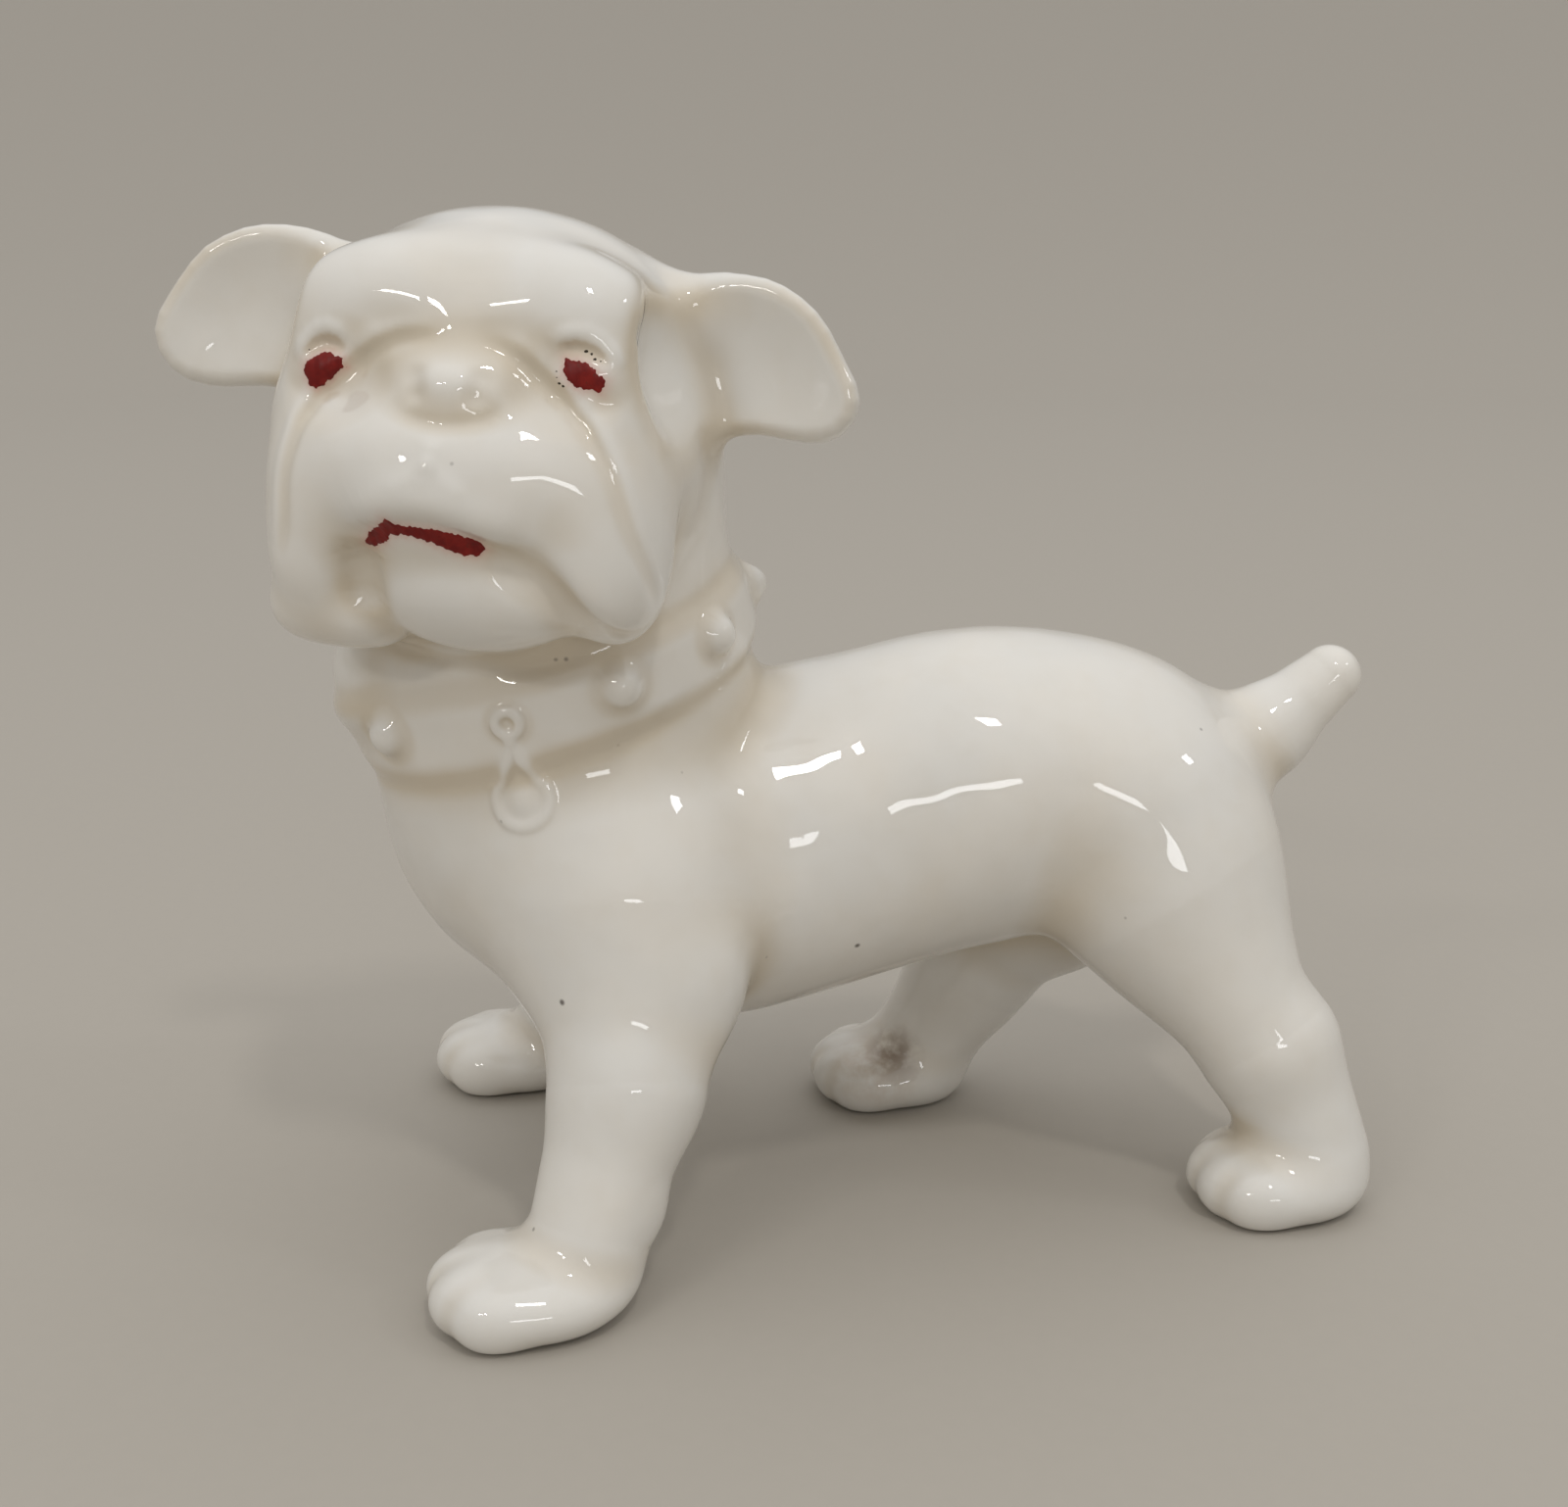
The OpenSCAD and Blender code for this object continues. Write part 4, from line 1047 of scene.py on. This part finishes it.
class Bench:
    """The potter's bench: fuses, smooths, works and cuts meshes in Blender."""

    # Size of the cells that sort points by place, and how many points one run of a job takes
    cell = 6.0
    chunk = 1800
    # Heights above the skin at which creases, where glaze pools, and wider hollows, where shade is painted,
    # are felt
    crease_height = 0.7
    shade_hollow_height = 2.2
    # A vertex further from the skin than this lies on a cut
    on_skin = 0.15
    # How far beyond its cutters a piece is worked before it is cut, and where clay is dropped altogether
    allowance = 2
    outermost = 90.0

    def __init__(self, figure: Figure) -> None:
        """Fuse all the lumps into one rough blank.

        Args:
            figure: The figure that the clay follows.
        """
        self.figure = figure
        lumps = [lump for part in figure.parts for lump in part.lumps] + figure.trims
        blocks = [lump.shape for lump in lumps if lump.clay is Clay.ADD]
        self.blank = self.fuse(blocks, "blank")
        self.remesh(self.blank, 0.7)
        self.project(self.blank, 4, 9.0)

    @staticmethod
    def clear() -> None:
        """Deselect everything."""
        bpy.ops.object.select_all(action="DESELECT")

    def pick(self, thing: bpy.types.Object) -> None:
        """Make one object the selected and active one."""
        self.clear()
        thing.select_set(True)
        bpy.context.view_layer.objects.active = thing

    def fuse(self, shapes: list, name: str) -> bpy.types.Object:
        """Add shapes as primitives and join them.

        Args:
            shapes: The shapes.
            name: Name of the joined object.

        Returns:
            The joined object, at the origin.
        """
        self.clear()
        made = []
        for shape in shapes:
            before = set(bpy.context.scene.objects)
            shape.block()
            made += [o for o in bpy.context.scene.objects if o not in before]
        self.clear()
        for o in made:
            o.select_set(True)
        bpy.context.view_layer.objects.active = made[0]
        if len(made) > 1:
            bpy.ops.object.join()
        bpy.ops.object.transform_apply(location=True, rotation=True, scale=True)
        whole = bpy.context.object
        whole.name = name
        return whole

    def modify(self, thing: bpy.types.Object, kind: str, **settings: object) -> None:
        """Add a modifier and apply it.

        Args:
            thing: The object.
            kind: The modifier's type.
            **settings: Its settings.
        """
        self.pick(thing)
        modifier = thing.modifiers.new(kind.title(), kind)
        for key, value in settings.items():
            setattr(modifier, key, value)
        bpy.ops.object.modifier_apply(modifier=modifier.name)

    def remesh(self, thing: bpy.types.Object, size: float) -> None:
        """Fuse what overlaps into one even skin of squares of that size."""
        self.modify(thing, "REMESH", mode="VOXEL", voxel_size=size, adaptivity=0.0)

    @staticmethod
    def points(thing: bpy.types.Object) -> Array:
        """The object's vertices, as double floats."""
        return vertices(thing.data).astype(float)

    def spread(self, job: Callable, points: Array) -> Array | list[Array]:
        """Run a job on chunks of points that lie close together, which is quick.

        Args:
            job: Takes points and returns an array, or a tuple of arrays.
            points: All the points.

        Returns:
            The job's result for all the points.
        """
        order = np.lexsort(np.floor(points / self.cell).T)
        done = [job(points[some]) for some in np.array_split(order, max(1, len(points) // self.chunk))]
        if isinstance(done[0], tuple):
            return [self.gather(order, [d[i] for d in done]) for i in range(len(done[0]))]
        return self.gather(order, done)

    @staticmethod
    def gather(order: Array, rows: list[Array]) -> Array:
        """Put the chunks' rows back in the order of the points."""
        rows = np.concatenate(rows)
        back = np.empty_like(rows)
        back[order] = rows
        return back

    def project(self, thing: bpy.types.Object, rounds: int, limit: float) -> None:
        """Move the vertices onto the figure's skin.

        Args:
            thing: The object.
            rounds: How many times each vertex is moved.
            limit: Vertices further from the skin than this stay.
        """
        move(thing.data, self.spread(lambda some: self.figure.settle(some, rounds, limit=limit),
                                     self.points(thing)))

    def cut(self, thing: bpy.types.Object, cutter: bpy.types.Object, operation: str) -> None:
        """Cut an object with another, which stays.

        Args:
            thing: The object that is cut.
            cutter: The closed cutter.
            operation: INTERSECT or DIFFERENCE.
        """
        self.modify(thing, "BOOLEAN", operation=operation, solver="MANIFOLD", object=cutter)

    def egg_cutter(self, at: Point, half: Point, pose: Pose = BODY) -> bpy.types.Object:
        """A closed egg shaped cutter."""
        return self.fuse([Egg(at, half, pose=pose)], "cutter")

    def collar_cutter(self) -> bpy.types.Object:
        """A closed sleeve that holds the strap, but not the core of the neck inside it."""
        collar = self.figure.collar
        band = self.slab_cutter(collar.at, tuple(collar.up), collar.room, collar.room, "band")
        middle = np.array(collar.at) + np.array([0.3, 0.6, 0])
        half_long, radius = 12 * collar.up, 8.5
        core = self.fuse([Limb(tuple(middle - half_long), tuple(middle + half_long), radius, radius)], "core")
        self.remesh(core, 0.6)
        self.cut(band, core, "DIFFERENCE")
        bpy.data.objects.remove(core)
        return band

    def studs_cutter(self) -> bpy.types.Object:
        """Closed balls round the studs, as one cutter."""
        r = self.figure.collar.stud_diameter / 2 + 0.5
        return self.fuse([Egg(tuple(at), (r, r, r)) for at, _ in self.figure.studs], "cutter")

    def box(self, middle: Point, size: Point, turn: Quaternion, name: str) -> bpy.types.Object:
        """A closed box, turned about its middle."""
        self.clear()
        bpy.ops.mesh.primitive_cube_add(size=1.0, location=middle, rotation=turn.to_euler(), scale=size)
        bpy.ops.object.transform_apply(location=True, rotation=True, scale=True)
        bpy.context.object.name = name
        return bpy.context.object

    def slab_cutter(self, at: Point, up: Point, below: float, above: float, name: str) -> bpy.types.Object:
        """A wide slab, square to a direction.

        Args:
            at: A point on the slab's reference plane.
            up: The direction that it lies square to.
            below: How far it reaches below that plane.
            above: How far it reaches above it.
            name: Name of the cutter.

        Returns:
            The cutter.
        """
        turn = Vector(up).to_track_quat("Z", "Y")
        middle = Vector(at) + turn @ Vector((0, 0, (above - below) / 2))
        return self.box(middle, (160, 160, above + below), turn, name)

    def piece(self, name: str, size: float, keep: list[bpy.types.Object],
              drop: list[bpy.types.Object]) -> bpy.types.Object:
        """Work one piece out of the blank.

        Args:
            name: The piece's name.
            size: Size of its skin's squares.
            keep: Cutters whose inside is kept.
            drop: Cutters whose inside is taken away.

        Returns:
            The closed piece, still in millimetres.
        """
        self.pick(self.blank)
        bpy.ops.object.duplicate()
        thing = bpy.context.object
        thing.name = name
        low, high = np.full(3, -self.outermost), np.full(3, self.outermost)
        for limit in [*keep, thing]:
            corners = self.points(limit)
            low = np.maximum(low, corners.min(0) - self.allowance)
            high = np.minimum(high, corners.max(0) + self.allowance)
        domain = self.box((low + high) / 2, high - low, Quaternion(), "domain")
        self.cut(thing, domain, "INTERSECT")
        bpy.data.objects.remove(domain)
        self.remesh(thing, size)
        self.project(thing, 3, 1.2)
        for cutter in keep:
            self.cut(thing, cutter, "INTERSECT")
        for cutter in drop:
            self.cut(thing, cutter, "DIFFERENCE")
        self.finish(thing)
        return thing

    def finish(self, thing: bpy.types.Object) -> None:
        """Shade a piece with the figure's own slopes, note where glaze pools and where shade is painted into
        hollows, and scale it to metres.

        Args:
            thing: The piece.
        """
        self.modify(thing, "TRIANGULATE")
        mesh = thing.data
        points = self.points(thing)
        gaps, out = self.spread(lambda some: self.figure.slope(some, SLOPE_STEP), points)
        above = self.spread(self.figure.gap, points + self.crease_height * out)
        beyond = self.spread(self.figure.gap, points + self.shade_hollow_height * out)
        bare = np.abs(gaps) > self.on_skin
        # Tight creases, where glaze pools, plus painted shade: wider hollows that face down, such as the
        # throat under the chin, are darkened in colour
        crease = np.clip((0.66 - above) * 4.5, 0.0, 1.0)
        hollow_shade = np.clip((2.05 - beyond) * 1.2, 0.0, 1.0)
        facing_down_shade = np.clip(0.75 - out[:, 2], 0.0, 1.2)
        pool = np.where(bare, 0.0, np.clip(0.9 * crease + 0.75 * hollow_shade * facing_down_shade, 0.0, 1.0))
        blush = np.zeros(len(points))
        for paint in self.figure.paints:
            blush = np.maximum(blush, paint.blush(points))
        note(mesh, "pool", pool)
        note(mesh, "blush", blush)
        self.pick(thing)
        bpy.ops.object.shade_smooth()
        normals = vertices(mesh, "normal")
        normals[~bare] = out[~bare]
        mesh.normals_split_custom_set_from_vertices(normals.tolist())
        mesh.transform(TO_METRES)


class Recipe:
    """Small helpers that join shader nodes."""

    def __init__(self, name: str) -> None:
        """Start a material.

        Args:
            name: Its name.
        """
        self.material = bpy.data.materials.new(name)
        self.material.use_nodes = True
        self.tree = self.material.node_tree
        self.shader = self.tree.nodes["Principled BSDF"]
        self.where = self.tree.nodes.new("ShaderNodeTexCoord").outputs["Object"]

    def link(self, start: bpy.types.NodeSocket, end: bpy.types.NodeSocket) -> None:
        """Join two sockets."""
        self.tree.links.new(start, end)

    def feed(self, socket: bpy.types.NodeSocket, value: object) -> None:
        """Link a value to a socket, or set the socket to a number or a colour."""
        if isinstance(value, bpy.types.NodeSocket):
            self.link(value, socket)
        else:
            socket.default_value = (*value, 1) if isinstance(value, tuple) else value

    def sockets(self, **values: object) -> None:
        """Set values on the shader's own sockets, named with _ for each space."""
        for name, value in values.items():
            self.shader.inputs[name.replace("_", " ")].default_value = value

    def noise(self, scale: float, detail: float = 2.0, rough: float = 0.5) -> bpy.types.NodeSocket:
        """Cloudy noise on the object's own coordinates."""
        node = self.tree.nodes.new("ShaderNodeTexNoise")
        node.inputs["Scale"].default_value = scale
        node.inputs["Detail"].default_value = detail
        node.inputs["Roughness"].default_value = rough
        self.link(self.where, node.inputs["Vector"])
        return node.outputs["Fac"]

    def math(self, operation: str, a: object, b: object = 0.0, c: object = 0.0) -> bpy.types.NodeSocket:
        """One step of arithmetic on sockets or numbers, clamped to 0 and 1 at MULTIPLY_ADD."""
        node = self.tree.nodes.new("ShaderNodeMath")
        node.operation = operation
        node.use_clamp = operation == "MULTIPLY_ADD"
        for socket, value in zip(node.inputs, (a, b, c)):
            self.feed(socket, value)
        return node.outputs[0]

    def ramp(self, value: bpy.types.NodeSocket, low: float, high: float) -> bpy.types.NodeSocket:
        """Stretch a value so that low becomes 0 and high becomes 1."""
        return self.math("MULTIPLY_ADD", value, 1 / (high - low), -low / (high - low))

    def attribute(self, name: str) -> bpy.types.NodeSocket:
        """A value that the mesh carries."""
        node = self.tree.nodes.new("ShaderNodeAttribute")
        node.attribute_name = name
        return node.outputs["Fac"]

    def near(self, at: Point, radius: float, soft: float) -> bpy.types.NodeSocket:
        """1 near a place given in millimetres, 0 away from it.

        Args:
            at: The place.
            radius: How far it reaches.
            soft: Width of its edge.

        Returns:
            The value.
        """
        node = self.tree.nodes.new("ShaderNodeVectorMath")
        node.operation = "DISTANCE"
        self.link(self.where, node.inputs[0])
        node.inputs[1].default_value = (at[0] * MM, (at[1] + CENTRE_Y) * MM, at[2] * MM)
        return self.ramp(node.outputs["Value"], (radius + soft) * MM, (radius - soft) * MM)

    def mix(self, share: object, a: object, b: object) -> bpy.types.NodeSocket:
        """Mix two colours."""
        node = self.tree.nodes.new("ShaderNodeMix")
        node.data_type = "RGBA"
        for name, value in (("Factor", share), ("A", a), ("B", b)):
            self.feed(node.inputs[name], value)
        return node.outputs["Result"]

    def bump(self, height: bpy.types.NodeSocket, strength: float, distance: float) -> None:
        """Let a height roughen the shader's surface."""
        node = self.tree.nodes.new("ShaderNodeBump")
        node.inputs["Strength"].default_value = strength
        node.inputs["Distance"].default_value = distance
        self.link(height, node.inputs["Height"])
        self.link(node.outputs["Normal"], self.shader.inputs["Normal"])


@dataclass(frozen=True)
class WhiteGlaze:
    """Clear glaze over a warm white body, slightly uneven, with a darker yellow-brown tint where it pools in
    creases, and the same tint as painted shade in hollows that face down.
    """

    white: Point = (0.78, 0.752, 0.70)
    cool: Point = (0.745, 0.73, 0.695)
    # Tint of pooled glaze, also used as painted shade in hollows
    pooled: Point = (0.52, 0.40, 0.22)
    pink: Point = (0.62, 0.30, 0.24)
    speck: Point = (0.05, 0.035, 0.025)
    # Colours of the far hind paw's patch: a stain, with a painted orange reflection round it and painted
    # shade at its dark middle
    paw_stain_and_reflection_tint: Point = (0.40, 0.24, 0.10)
    paw_stain_and_shade_dark: Point = (0.10, 0.05, 0.025)
    # Dark grains that were fired into the glaze: place and radius in millimetres
    grains: tuple[tuple[Point, float], ...] = (
        ((14.9, -18.6, 46.4), 0.15), ((15.0, -17.9, 46.4), 0.15), ((17.8, -19.0, 22.3), 0.2),
        ((10.8, 3.5, 22.8), 0.2), ((14.1, -22.9, 34.6), 0.2), ((24.2, -25.0, 60.9), 0.14),
        ((16.1, -39.0, 71.5), 0.25), ((21.5, -13.0, 56.0), 0.16), ((12.2, 10.0, 31.0), 0.13),
        ((-6.0, 5.0, 41.0), 0.2), ((-14.0, -12.0, 30.0), 0.22), ((3.0, 30.0, 39.0), 0.16),
    )

    def material(self) -> bpy.types.Material:
        """Build the node material."""
        r = Recipe("white_glaze")
        r.sockets(Roughness=0.6, IOR=1.5, Coat_Weight=1.0, Coat_Roughness=0.02)
        ragged = r.ramp(r.noise(700.0, 3.0), 0.3, 0.6)
        # Patch on the far hind paw: a stain plus a painted orange reflection in the ring and painted shade in
        # the dark middle
        paw_stain_and_reflection = r.math("MULTIPLY", r.near((-8.6, 8.8, 4.6), 2.2, 2.8), ragged)
        core = r.math("MULTIPLY", r.near((-9.0, 10.8, 5.0), 1.4, 1.6), ragged)
        dust = self.dust(r)
        for at, radius in self.grains:
            dust = r.math("MAXIMUM", dust, r.near(at, radius, 0.09))
        washes = (
            (r.ramp(r.noise(420.0, 3.0), 0.45, 0.75), 0.05, self.pooled),
            # Pooled glaze in creases plus painted shade in hollows that face down
            (r.attribute("pool"), 0.5, self.pooled),
            (r.attribute("blush"), 0.5, self.pink),
            (paw_stain_and_reflection, 0.55, self.paw_stain_and_reflection_tint),
            (core, 0.85, self.paw_stain_and_shade_dark),
            (dust, 0.85, self.speck),
        )
        colour = r.mix(r.ramp(r.noise(85.0, 3.0), 0.35, 0.65), self.white, self.cool)
        for value, share, tint in washes:
            colour = r.mix(r.math("MULTIPLY", value, share), colour, tint)
        r.link(colour, r.shader.inputs["Base Color"])
        r.bump(r.noise(300.0, 2.0), 0.05, 0.0008)
        return r.material

    def dust(self, r: Recipe) -> bpy.types.NodeSocket:
        """Rare tiny pinholes, one in each of a few cells."""
        cells = r.tree.nodes.new("ShaderNodeTexVoronoi")
        cells.inputs["Scale"].default_value = 230.0
        r.link(r.where, cells.inputs["Vector"])
        apart = r.tree.nodes.new("ShaderNodeSeparateColor")
        r.link(cells.outputs["Color"], apart.inputs["Color"])
        chosen = r.ramp(apart.outputs["Red"], 0.80, 0.82)
        close = r.ramp(cells.outputs["Distance"], 0.045, 0.02)
        return r.math("MULTIPLY", r.math("MULTIPLY", chosen, close), 0.6)


@dataclass(frozen=True)
class RedEnamel:
    """Brushed brownish red enamel, thin in places, with dark burnt flecks."""

    deep: Point = (0.15, 0.007, 0.006)
    thin: Point = (0.24, 0.014, 0.010)
    burnt: Point = (0.03, 0.022, 0.012)

    def material(self) -> bpy.types.Material:
        """Build the node material."""
        r = Recipe("red_enamel")
        r.sockets(Roughness=0.38, IOR=1.3, Coat_Weight=0.0)
        colour = r.mix(r.ramp(r.noise(900.0, 4.0, 0.6), 0.42, 0.72), self.deep, self.thin)
        spots = r.ramp(r.noise(2600.0, 2.0), 0.62, 0.7)
        colour = r.mix(r.math("MULTIPLY", spots, 0.25), colour, self.burnt)
        r.link(r.mix(r.attribute("fleck"), colour, self.burnt), r.shader.inputs["Base Color"])
        r.bump(r.noise(1500.0, 3.0), 0.12, 0.0002)
        return r.material


@dataclass(frozen=True)
class PaleFloor:
    """Matt warm grey card."""

    tone: Point = (0.43, 0.40, 0.355)

    def material(self) -> bpy.types.Material:
        """Build the node material."""
        r = Recipe("pale_floor")
        r.sockets(Roughness=0.75)
        lighter = tuple(v * 1.03 for v in self.tone)
        r.link(r.mix(r.noise(700.0, 4.0), self.tone, lighter), r.shader.inputs["Base Color"])
        return r.material


# The place that the lamps face, in metres
AIM = (0.01, -0.01, 0.045)


@dataclass(frozen=True)
class Lamp:
    """A soft rectangular lamp: bearing and height in degrees, distance and size in metres."""

    name: str
    bearing: float
    height: float
    distance: float
    size: tuple[float, float]
    watts: float
    colour: Point = (1.0, 0.97, 0.92)
    spin: float = 0.0

    def hang(self) -> None:
        """Hang the lamp, facing the figure's middle."""
        data = bpy.data.lights.new(self.name, "AREA")
        data.shape = "RECTANGLE"
        data.size, data.size_y = self.size
        data.energy = self.watts
        data.color = self.colour
        lamp = bpy.data.objects.new(self.name, data)
        bpy.context.scene.collection.objects.link(lamp)
        a, b = math.radians(self.bearing), math.radians(self.height)
        way = Vector((math.cos(a) * math.cos(b), math.sin(a) * math.cos(b), math.sin(b)))
        lamp.location = Vector(AIM) + way * self.distance
        spin = Matrix.Rotation(math.radians(self.spin), 3, "Z").to_quaternion()
        lamp.rotation_euler = ((-way).to_track_quat("-Z", "Y") @ spin).to_euler()


@dataclass(frozen=True)
class Studio:
    """Pale floor, soft lamps and the camera at the photograph's angle."""

    lens: float = 45.0
    camera_at: Point = (148.0, -23.1, 74.0)
    heading: Point = (-0.9885, 0.1514, 0.0)
    look_down: float = 14.55
    # The floor's width, how far out it is flat, and over what length and how high it then rises
    floor_width: float = 5.0
    flat_to: float = 0.9
    rise_over: float = 1.3
    rise_to: float = 0.75
    # The sky's light low down, its light high up, the height of the change, and its tint
    sky_low: float = 0.08
    sky_high: float = 1.0
    sky_top: float = 0.9
    sky_tint: Point = (1.0, 0.99, 0.975)
    lamps: tuple[Lamp, ...] = (
        Lamp("window", -46, 29, 1.1, (0.16, 0.06), 0.75),
        Lamp("window_pane", -36, 32, 1.1, (0.06, 0.06), 0.35),
        Lamp("skylight", 11, 57, 1.1, (0.07, 0.12), 1.4),
        Lamp("low_strip", 7, 11.5, 1.3, (0.32, 0.10), 0.8, (0.96, 0.98, 1.0), 6.0),
        Lamp("side_window", 66, 38, 1.2, (0.14, 0.08), 0.5, (0.96, 0.98, 1.0)),
    )

    def camera(self) -> None:
        """Create the camera."""
        data = bpy.data.cameras.new("camera")
        data.lens = self.lens
        data.sensor_width = 36.0
        data.clip_start, data.clip_end = 0.01, 20.0
        eye = bpy.data.objects.new("camera", data)
        bpy.context.scene.collection.objects.link(eye)
        eye.location = (Vector(self.camera_at) + Vector((0, CENTRE_Y, 0))) * MM
        down = math.radians(self.look_down)
        along = Vector(self.heading).normalized() * math.cos(down) - Vector((0, 0, math.sin(down)))
        eye.rotation_euler = along.to_track_quat("-Z", "Y").to_euler()
        bpy.context.scene.camera = eye

    def floor(self) -> None:
        """Lay the floor, which rises all round into a low backdrop far off."""
        bpy.ops.object.select_all(action="DESELECT")
        bpy.ops.mesh.primitive_grid_add(x_subdivisions=90, y_subdivisions=90, size=self.floor_width)
        ground = bpy.context.object
        ground.name = "floor"
        for v in ground.data.vertices:
            rise = min(max((math.hypot(v.co.x, v.co.y) - self.flat_to) / self.rise_over, 0.0), 1.0)
            v.co.z = self.rise_to * rise * rise * (3 - 2 * rise)
        bpy.ops.object.shade_smooth()
        ground.data.materials.append(PaleFloor().material())

    def lights(self) -> None:
        """Hang the lamps and set the world's plain light."""
        for lamp in self.lamps:
            lamp.hang()
        world = bpy.data.worlds.new("world")
        bpy.context.scene.world = world
        world.use_nodes = True
        nodes, links = world.node_tree.nodes, world.node_tree.links
        apart = nodes.new("ShaderNodeSeparateXYZ")
        links.new(nodes.new("ShaderNodeTexCoord").outputs["Generated"], apart.inputs[0])
        sky = nodes.new("ShaderNodeMapRange")
        for name, value in (("From Min", 0.0), ("From Max", self.sky_top),
                            ("To Min", self.sky_low), ("To Max", self.sky_high)):
            sky.inputs[name].default_value = value
        links.new(apart.outputs["Z"], sky.inputs["Value"])
        back = nodes["Background"]
        back.inputs["Color"].default_value = (*self.sky_tint, 1)
        links.new(sky.outputs["Result"], back.inputs["Strength"])
        bpy.context.scene.view_settings.view_transform = "Standard"


@dataclass
class Workshop:
    """Makes every piece of the figure and dresses it."""

    bench: Bench
    made: list[bpy.types.Object] = field(default_factory=list)
    # A point on the plane where the head leaves the neck, and the direction of the head's side
    face_plane: tuple[Point, Point] = ((14, -22, 47.5), (0.55, -0.165, 0.82))
    # A length that reaches past the whole figure
    far: float = 80

    def build(self) -> None:
        """Cut the figure into its pieces, then lay the paint on."""
        bench, figure = self.bench, self.bench.figure
        collar, pose = figure.collar, Head().pose()
        lower = tuple(np.array(collar.at) - collar.room * collar.up)
        above = bench.slab_cutter(lower, tuple(collar.up), 0, self.far, "above")
        below = bench.slab_cutter(lower, tuple(collar.up), self.far, 0, "below")
        face = bench.slab_cutter(*self.face_plane, 0, self.far, "face")
        band, studs = bench.collar_cutter(), bench.studs_cutter()
        ring = bench.egg_cutter(tuple(figure.ring_at), (1.6, 1.6, 1.6))
        tag = bench.egg_cutter(tuple(figure.tag_at + np.array([0.1, -0.1, 0.9])), (2.6, 3.0, 4.0))
        legs = {
            "front_left_leg": bench.egg_cutter((18.5, -17, 3), (13.5, 15, 23)),
            "front_right_leg": bench.egg_cutter((-18.5, -17, 3), (13.5, 15, 23)),
            "hind_left_leg": bench.egg_cutter((11.5, 35, 3), (10.5, 13, 21)),
            "hind_right_leg": bench.egg_cutter((-12, 16, 3), (10.5, 13, 19)),
            "tail": bench.egg_cutter((0, 43.5, 39.5), (7, 7.5, 8)),
        }
        ears = {
            "left_ear": bench.egg_cutter((19.5, -1.8, 4.0), (9.5, 5.4, 7.8), pose),
            "right_ear": bench.egg_cutter((-19.8, -1.8, 4.6), (9.8, 5.4, 8.4), pose),
        }
        for name, cutter in legs.items():
            self.add(name, 0.3, [cutter], [])
        self.add("torso", 0.36, [below], [*legs.values(), tag])
        self.add("neck", 0.3, [above], [face, band])
        self.add("collar", 0.2, [band], [studs, ring, tag])
        self.add("collar_studs", 0.16, [studs], [])
        self.add("tag_ring", 0.12, [ring], [])
        self.add("tag", 0.14, [tag], [ring])
        self.add("head", 0.22, [face], list(ears.values()))
        for name, cutter in ears.items():
            self.add(name, 0.26, [cutter], [])
        slabs = [above, below, face]
        for tool in [*slabs, band, studs, ring, tag, *legs.values(), *ears.values(), bench.blank]:
            bpy.data.objects.remove(tool)
        for paint in figure.paints:
            sheet = paint.sheet(figure)
            bench.modify(sheet, "TRIANGULATE")
            bench.pick(sheet)
            bpy.ops.object.shade_smooth()
            sheet.data.transform(TO_METRES)
            self.made.append(sheet)

    def add(self, name: str, size: float, keep: list[bpy.types.Object], drop: list[bpy.types.Object]) -> None:
        """Cut one piece out of the figure and note it."""
        self.made.append(self.bench.piece(name + "_clay", size, keep, drop))
        log.info("cut %s", name)

    def dress(self) -> None:
        """Give each piece its finish and its place in the record."""
        white, red = WhiteGlaze().material(), RedEnamel().material()
        for piece in self.made:
            node = piece.name.split("_clay")[0]
            painted = node.endswith("_paint")
            piece.data.materials.clear()
            piece.data.materials.append(red if painted else white)
            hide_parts(node)
            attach(piece, "root")
            log.info("%s: %d triangles", node, len(piece.data.polygons))


def main() -> None:
    """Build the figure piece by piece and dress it."""
    logging.basicConfig(level=logging.INFO, format="%(relativeCreated)d %(name)s: %(message)s")
    bench = Bench(Figure())
    log.info("blank: %d vertices", len(bench.blank.data.vertices))
    workshop = Workshop(bench)
    workshop.build()
    workshop.dress()
    studio = Studio()
    studio.floor()
    studio.lights()
    studio.camera()


if __name__ == "__main__":
    main()
